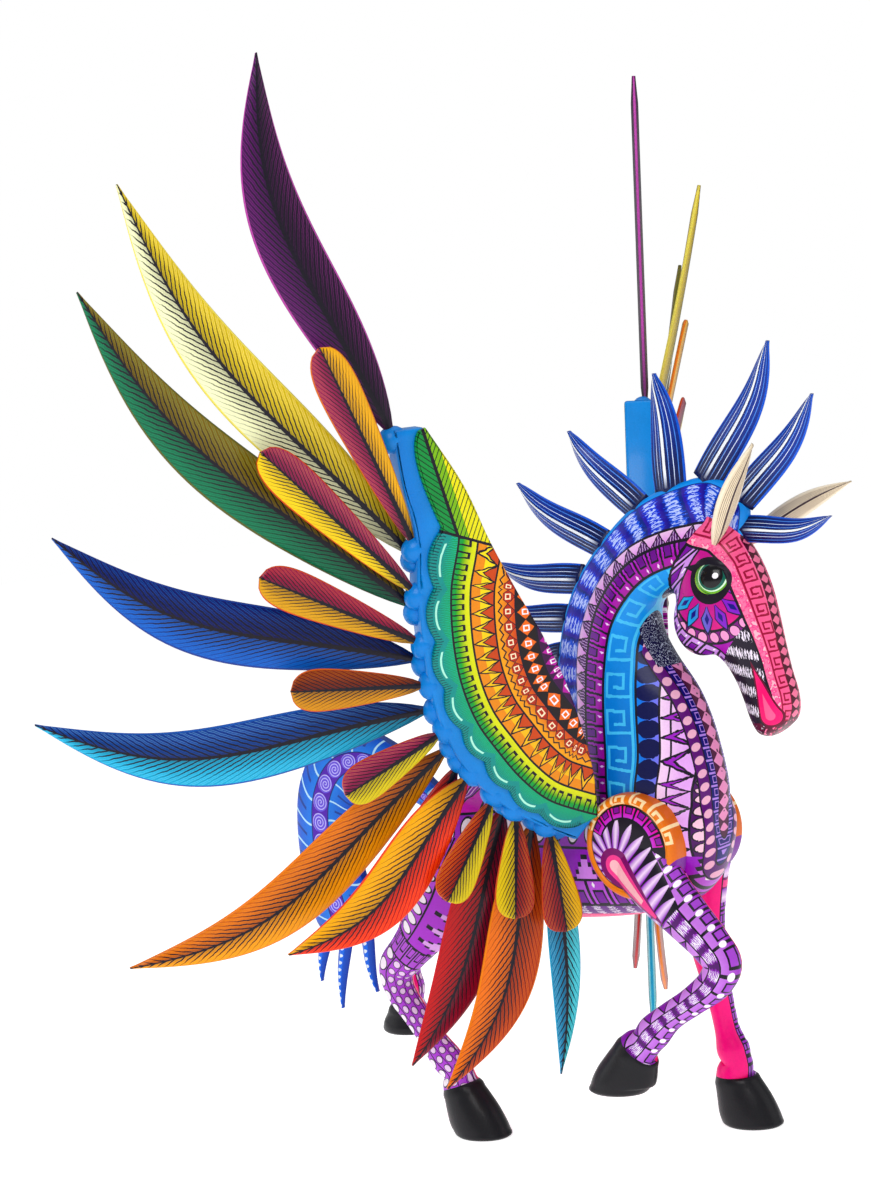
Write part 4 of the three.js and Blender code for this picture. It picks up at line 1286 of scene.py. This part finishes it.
def shoulderRecipe(tree, x, z):  # the teardrop and its petals; the rings of the disc are painted in discRecipe
    dx, dz = x - teardrop["x"], z - teardrop["z"]
    t = dx * teardrop["alongX"] + dz * teardrop["alongZ"]
    w = dx * -teardrop["alongZ"] + dz * teardrop["alongX"]
    headPart = apart(t, w) / teardrop["radius"]
    taper = ((t / teardrop["length"]).larger(0.0).power(1.4) * -1.0 + 1.0).larger(0.02) * teardrop["radius"]
    ahead = t.over(0.0)
    drop = mixed(tree, ahead, headPart, w.size() / taper)
    angle = w.run("ARCTAN2", t * -1.0) / 6.2832
    fan = mixed(tree, ahead, (angle * 17.0).fraction(), (t / 6.4 + 0.25).fraction())
    reach = mixed(tree, ahead, (headPart - 1.0) * teardrop["radius"], w.size() - taper)
    fan = (fan - 0.5).size()
    petal = fan.under((reach.larger(0.0) / 14.0).power(2.2) * -0.36 + 0.43)
    canvas = Canvas(tree, ink("17101f"))
    canvas.paint(petal, mixed(tree, fan * 2.6, ink("f4dcf8"), ink("9a48c4")))
    canvas.paint(drop.under(1.0) * t.under(teardrop["length"]), ink("7a0f66"))
    canvas.paint(drop.under(0.62) * t.under(teardrop["length"] * 0.86), ink("f46aa0"))
    canvas.paint(drop.under(0.34) * t.under(teardrop["length"] * 0.6), ink("ffc4cc"))
    return [canvas.colour, reach.under(14.0) * t.under(teardrop["length"])]


shoulderMotif = shared(
    "shoulderMotif", {"X": 0.0, "Z": 0.0}, {"Colour": "colour", "Mask": "number"}, shoulderRecipe)


def discRecipe(tree):
    x, z = objectPlace(tree)[::2]
    dx, dz = x - discSetup["x"], z - discSetup["z"]
    radius = apart(dx, dz)
    angle = dz.run("ARCTAN2", dx) / 6.2832
    canvas = Canvas(tree, use(tree, shoulderMotif, X=x, Z=z)[0])
    lower = (dz * 0.75 - dx * 0.66).under(-21.0)
    upper = (dx * 0.17 + dz * 0.985 - radius * 0.22).over(0.0)
    v, zone = band(radius, 15.4, 20.6)
    top = lower.opposite()
    arch = top * upper
    rose = mixed(tree, v, ink("c45ad0"), ink("e22f9c"))
    paintSquares(canvas, arch * zone, angle * 16.0, v.opposite(), rose, ink("8a2f9c"))
    canvas.paint(arch * radius.between(14.4, 15.4), black)
    canvas.paint(top * radius.between(20.6, 21.4), black)
    v, zone = band(radius, 21.4, 27.0)
    canvas.paint(top * radius.over(21.4), mixed(tree, v, ink("f08a34"), ink("d8642a")))
    canvas.paint(arch * zone * use(tree, greekKey, Along=angle * 13.0, Across=v, Half=0.07)[0], ink("ffe2b4"))
    canvas.paint(lower, ink("7a3496"))
    return canvas.colour, None


def foreLimbRecipe(tree):
    x, z = objectPlace(tree)[::2]
    run, turn, out = attribute(tree, "limbRun")
    canvas = Canvas(tree, ink("a452c6"))
    v, zone = band(turn, 0.0, 0.36)
    paintSquares(canvas, zone, run / 8.6, v, mixed(tree, v, ink("a24cc4"), ink("c98ae2")), ink("a860cc"))
    dot = use(tree, ovals, Along=run / 8.6 + 0.5, Across=turn * 3.0, Long=0.16, Tall=0.22)[0]
    canvas.paint(dot, ink("fdf6fd"))
    canvas.paint(turn.between(0.36, 0.385), black)
    v, zone = band(turn, 0.385, 0.58)
    light, dark = use(tree, tufts, Along=run / 9.0, Across=v, Fine=7.0)
    canvas.paint(zone, ink("9c4cc0"))
    canvas.paint(zone * dark * 0.8, ink("2a1038"))
    canvas.paint(zone * light, ink("f4eef8"))
    canvas.paint(turn.between(0.58, 0.605), black)
    v, zone = band(turn, 0.605, 1.0)
    paintTriangles(canvas, zone, run / 10.0, v * 1.2, ink("cf93e6"), ink("8a3cae"), line=black)
    colour, mask = use(tree, shoulderMotif, X=x, Z=z)
    canvas.paint(mask * z.over(113.0) * run.under(-20.0), colour)
    hoofAndInner(canvas, run, out)
    return canvas.colour, None


def hindLimbRecipe(tree):
    run, turn, out = attribute(tree, "limbRun")
    canvas = Canvas(tree, ink("a452c6"))
    v, zone = band(turn, 0.0, 0.5)
    above, line = use(tree, stairs, Along=run / 9.0, Across=v, Steps=4.0)
    canvas.paint(zone, mixed(tree, above, ink("e2b2f0"), ink("b45cd4")))
    canvas.paint(zone * line, black)
    shank = zone * run.over(-84.0)
    files, across = (v * 3.0).whole(), (v * 3.0).fraction()
    inside, line = use(tree, ovals, Along=run / 6.4 + files * 0.5, Across=across, Long=0.3, Tall=0.34)
    canvas.paint(shank, ink("b866d8"))
    canvas.paint(shank * line.larger(across.under(0.07)), black)
    canvas.paint(shank * inside, ink("f0d6f6"))
    v, zone = band(turn, 0.52, 0.78)
    paintOvals(canvas, zone, run / 7.0, v, (0.33, 0.38), ink("faf0fb"), ink("b866d6"), black)
    canvas.paint(turn.between(0.5, 0.525).larger(turn.between(0.775, 0.8)), black)
    v, zone = band(turn, 0.8, 1.0)
    paintTriangles(canvas, zone, run / 9.0, v, ink("d49ae8"), line=black)
    canvas.paint(run.between(-84.0, -83.0).larger(run.between(-97.0, -96.0)), black)
    v, zone = band(run, -96.0, -84.0)
    paintSquares(canvas, zone, turn * 7.0, v, ink("b86ad6"))
    hoofAndInner(canvas, run, out)
    return canvas.colour, None


def hoofAndInner(canvas, run, out):
    canvas.paint(out.under(-0.3), ink("ff3f8c"))
    canvas.paint(out.between(-0.3, -0.22), black)
    canvas.paint(run.over(0.0), ink("17171b"))


def limbLoft(side, stations):
    bm = bmesh.new()
    note = bm.verts.layers.float_vector.new("limbRun")
    rows = curveThrough(stations, hoofSetup["steps"])
    middles = [Vector((x, side * y, z)) for x, z, y, depth, width in rows]
    lengths = lengthsAlong(middles)
    hoofRow = (len(stations) - hoofSetup["stations"]) * hoofSetup["steps"]
    coronet = lengths[hoofRow]
    rings = []
    for k, (x, z, y, depth, width) in enumerate(rows):
        along = (middles[min(k + 1, len(rows) - 1)] - middles[max(k - 1, 0)]).normalized()
        sole = max(0.0, min(1.0, (k - hoofRow) / hoofSetup["steps"] / 2))
        across = along.cross(sideways).normalized().lerp(Vector((1, 0, 0)), sole).normalized()
        swell = 1.0 + 0.05 * max(0.0, 1 - abs(lengths[k] - coronet - 2.5) / 2.5)

        def mark(c, s, k=k):
            turn = math.acos(max(-1, min(1, c))) / math.pi
            return Vector((lengths[k] - coronet, turn, s * side))

        half = (depth * swell, width * swell)
        rings.append(ring(bm, middles[k], across, half[0], sideways, half[1], 32, note=(note, mark)))
    bridged(bm, rings)
    return bm


def discTurned(side):
    bm = bmesh.new()
    radius, height = discSetup["radius"], discSetup["height"]
    profile = curveThrough([
        (radius, -9, 0), (radius, 1, 0), (radius - 0.2, height - 3, 0), (radius - 1.8, height - 0.6, 0),
        (radius - 3.4, height - 0.2, 0), (radius - 4.2, height - 0.9, 0), (radius - 5.4, height - 0.2, 0),
        (radius * 0.55, height + 1.2, 0), (radius * 0.28, height + 1.8, 0), (0.6, height + 2, 0),
    ], 4)
    rings = []
    for at in profile:
        centre = Vector((discSetup["x"], side * (carvingSetup["bodyWidth"] * 0.46 + at.y), discSetup["z"]))
        rings.append(ring(bm, centre, Vector((1, 0, 0)), at.x, upward, at.x, 64))
    bridged(bm, rings)
    return bm


forePaint = varnished("foreLimbPaint", foreLimbRecipe, roughness=0.38, coat=0.3)
hindPaint = varnished("hindLimbPaint", hindLimbRecipe, roughness=0.38, coat=0.3)
discPaint = varnished("shoulderDiscPaint", discRecipe, roughness=0.34, coat=0.4)
for name, (side, fore, stations) in legs.items():
    paint = forePaint if fore else hindPaint
    finished(limbLoft(side, stations), f"{name}_limb", "figure", [name], [paint])
    if fore:
        finished(discTurned(side), f"{name}_disc", "figure", [], [discPaint])
print("legs are made")

# mane spikes, ears and tail

spikeSetup = {"width": 22, "thickness": 8, "edge": 1.6, "outline": "thorn", "rib": 0.8,
              "pegRadius": 1.9, "pegLength": 6.0, "sink": 3}
spikes = [  # place along the crest, angle, length, size, bow
    (0.015, 3, 44, 0.8, 4), (0.082, 46, 60, 0.95, 4), (0.172, 56, 71, 1.05, 5), (0.268, 92, 54, 1.15, 2),
    (0.36, 132, 52, 1, -3), (0.48, 145, 57, 1, -4), (0.578, 168, 51, 0.95, -4), (0.67, 170, 40, 0.9, -3),
    (0.75, 181, 32, 0.8, -3),
]


def spikeRecipe(tree):
    along, across, share = attribute(tree, "bladeRun")
    ragged = noise(tree, joined(tree, along * 0.1, across, 0.0), 0.8, 2.0)
    wide = share.size() + (ragged - 0.5) * 0.05
    canvas = Canvas(tree, mixed(tree, along.ramp(4.0, 40.0), ink("041248"), ink("0a2f94")))
    comb = (wide * 4.2 + 0.5).fraction()
    tip = along.ramp(0.0, 10.0)
    canvas.paint(comb.between(0.42, 0.6) * wide.under(0.86) * tip, ink("6f9cf0"))
    canvas.paint(comb.between(0.45, 0.57) * wide.between(0.25, 0.6) * tip, ink("f2f6ff"))
    canvas.paint(wide.under(0.085) * tip, ink("f4f8ff"))
    canvas.paint(wide.between(0.085, 0.14), ink("0a1650"))
    canvas.paint(wide.over(0.9), ink("1c5cd8"))
    canvas.paint(along.under(2.0), ink("0a1446"))
    return canvas.colour, comb * -0.3


def tailTipRecipe(tree):
    along, share = attribute(tree, "bladeRun")[::2]
    canvas = Canvas(tree, mixed(tree, share.size(), ink("2a63dc"), ink("0f3fae")))
    canvas.paint(share.size().under(0.34), ink("1f6ff0"))
    dots = use(tree, ovals, Along=along / 4.2, Across=share * 0.5 + 0.5, Long=0.24, Tall=0.13)[0]
    canvas.paint(dots, ink("e6f4ff"))
    return canvas.colour, None


def earRecipe(tree):
    along, share = attribute(tree, "bladeRun")[::2]
    canvas = Canvas(tree, mixed(tree, along.ramp(0.0, 50.0), ink("f6e6cc"), ink("e8d8be")))
    hairs = ((share * 7.0) + along * 0.02).fraction()
    canvas.paint(hairs.under(0.3) * share.size().under(0.7), ink("8a7868"))
    canvas.paint(share.between(-0.08, 0.1), ink("4a3c40"))
    canvas.paint(share.size().over(0.8), ink("f8ecd6"))
    return canvas.colour, hairs * -0.3


spikePaint = varnished("manePaint", spikeRecipe, roughness=0.3, coat=0.5, relief=0.4)
tipPaint = varnished("tailTipPaint", tailTipRecipe, roughness=0.32, coat=0.45)
earPaint = varnished("earPaint", earRecipe, roughness=0.42, coat=0.25)
for k, (at, angle, length, size, bow) in enumerate(spikes):
    turn = math.radians(angle)
    direction = Vector((math.cos(turn), 0, math.sin(turn)))
    root = pointAt(crestLine, at)[0] - direction * spikeSetup["sink"]
    shape = {**spikeSetup, "length": length + spikeSetup["sink"], "bow": bow}
    shape["width"] *= size
    bm = bmesh.new()
    blade(bm, placeAt(root, direction, sideways), shape)
    finished(bm, f"mane_spike_{k + 1}_blade", "figure", [f"mane_spike_{k + 1}"], [spikePaint])

earSetup = {"length": 60, "width": 11, "thickness": 7, "edge": 1.4, "outline": "plume", "rib": -1.0,
            "pegRadius": 2.5, "pegLength": 8.0, "bow": 2, "belly": 0.7}
ears = {
    "right_ear": {"root": (107.5, -9.8, 293), "along": (0.62, -0.24, 0.78), "face": (0.8, -0.5, -0.5)},
    "left_ear": {"root": (111, 9, 291), "along": (0.84, 0.3, 0.4), "face": (0.45, -0.85, 0.1)},
}
for name, spec in ears.items():
    bm = bmesh.new()
    blade(bm, placeAt(Vector(spec["root"]), spec["along"], spec["face"]), earSetup, sides=28)
    finished(bm, f"{name}_blade", name, [name], [earPaint])

tailSetup = {
    "width": 44, "thickness": 12, "tenonRadius": 4.5, "tenonReach": 28,
    "tenonAlong": Vector((0.83, 0, -0.56)).normalized(),
}
tailStations = [
    (-86, 168, 0.16), (-98, 176, 0.2), (-116, 187, 0.29), (-136, 192, 0.37), (-154, 187, 0.43),
    (-166, 172, 0.46), (-170, 152, 0.48), (-169, 130, 0.5), (-164, 106, 0.5), (-163, 101, 0.46),
]
tailTips = [
    ((-176, 0, 102), (-0.33, 0, -0.94), 37), ((-163, 0, 101), (-0.24, 0, -0.97), 50),
    ((-150, 0, 101), (0.06, 0, -1), 38),
]


def tailRecipe(tree):
    along, across, share = attribute(tree, "bladeRun")
    canvas = Canvas(tree, mixed(tree, share.size(), ink("1f8cf4"), ink("1048c8")))
    wave = along / 13.0 + (across * 0.22).sine() * 0.16 + share.size() * 0.3
    cell = (wave.fraction() - 0.5).size()
    canvas.paint(cell.under(0.045) * share.size().over(0.25), ink("bfe6fb"))
    canvas.paint(cell.over(0.44) * share.size().over(0.5), ink("0c3a94"))
    canvas.paint(share.size().under(0.27), ink("5a2fb0"))
    a = (along / 11.5).fraction() - 0.5
    v = share / 0.5
    reach = (a * a + v * v * 0.9).power(0.5)
    twist = v.run("ARCTAN2", a) / 6.2832
    spiral = (reach * 6.4 - twist).fraction()
    disc = reach.under(0.46)
    canvas.paint(disc, ink("7f6ee0"))
    canvas.paint(disc * spiral.under(0.34), ink("c9c4fb"))
    canvas.paint(share.size().between(0.265, 0.3), ink("16246e"))
    canvas.paint(share.size().over(0.95), ink("0f3f9c"))
    return canvas.colour, None


def tailBlade():
    bm = bmesh.new()
    note = bm.verts.layers.float_vector.new("bladeRun")
    rows = curveThrough(tailStations, 7)
    middles = [Vector((x, 0, z)) for x, z, share in rows]
    lengths = lengthsAlong(middles)
    rings = []
    for k, (x, z, share) in enumerate(rows):
        along = middles[min(k + 1, len(rows) - 1)] - middles[max(k - 1, 0)]
        across = along.cross(sideways).normalized()
        half = share * tailSetup["width"]

        def section(c, s, half=half):
            return c * half, math.copysign(abs(s) ** 0.7, s) * tailSetup["thickness"] / 2

        def mark(c, s, k=k, half=half):
            return Vector((lengths[k], c * half, c))

        rings.append(ring(bm, middles[k], across, 1, sideways, 1, 40, section, (note, mark)))
    bridged(bm, rings)
    dowel(bm, middles[7], tailSetup["tenonAlong"], tailSetup["tenonRadius"], tailSetup["tenonReach"])
    return bm


tailPaint = varnished("tailPaint", tailRecipe, roughness=0.32, coat=0.45)
finished(tailBlade(), "tail_blade", "tail", ["tail"], [tailPaint])
tipSetup = {"width": 12, "thickness": 7, "edge": 1.4, "outline": "thorn", "rib": 0.5,
            "pegRadius": 1.9, "pegLength": 6.0, "bow": 2}
for k, (root, along, length) in enumerate(tailTips):
    bm = bmesh.new()
    blade(bm, placeAt(Vector(root), along, sideways), {**tipSetup, "length": length})
    finished(bm, f"tail_tip_{k + 1}_blade", "tail", [f"tail_tip_{k + 1}"], [tipPaint])
print("mane, ears and tail are made")

# floor

floorMesh = bmesh.new()
bmesh.ops.create_grid(floorMesh, x_segments=8, y_segments=8, size=6.0)
floorData = bpy.data.meshes.new("floor")
floorMesh.to_mesh(floorData)
floorMesh.free()
floor = bpy.data.objects.new("floor", floorData)
floorPaint = bpy.data.materials.new("floorPaint")
floorPaint.use_nodes = True
floorShader = floorPaint.node_tree.nodes["Principled BSDF"]
floorShader.inputs["Base Color"].default_value = (0.86, 0.86, 0.86, 1)
floorShader.inputs["Roughness"].default_value = 0.9
floorShader.inputs["Emission Color"].default_value = (1.0, 1.0, 1.0, 1)
floorShader.inputs["Emission Strength"].default_value = 0.72
floorData.materials.append(floorPaint)
bpy.context.scene.collection.objects.link(floor)

print("all pieces are in place")
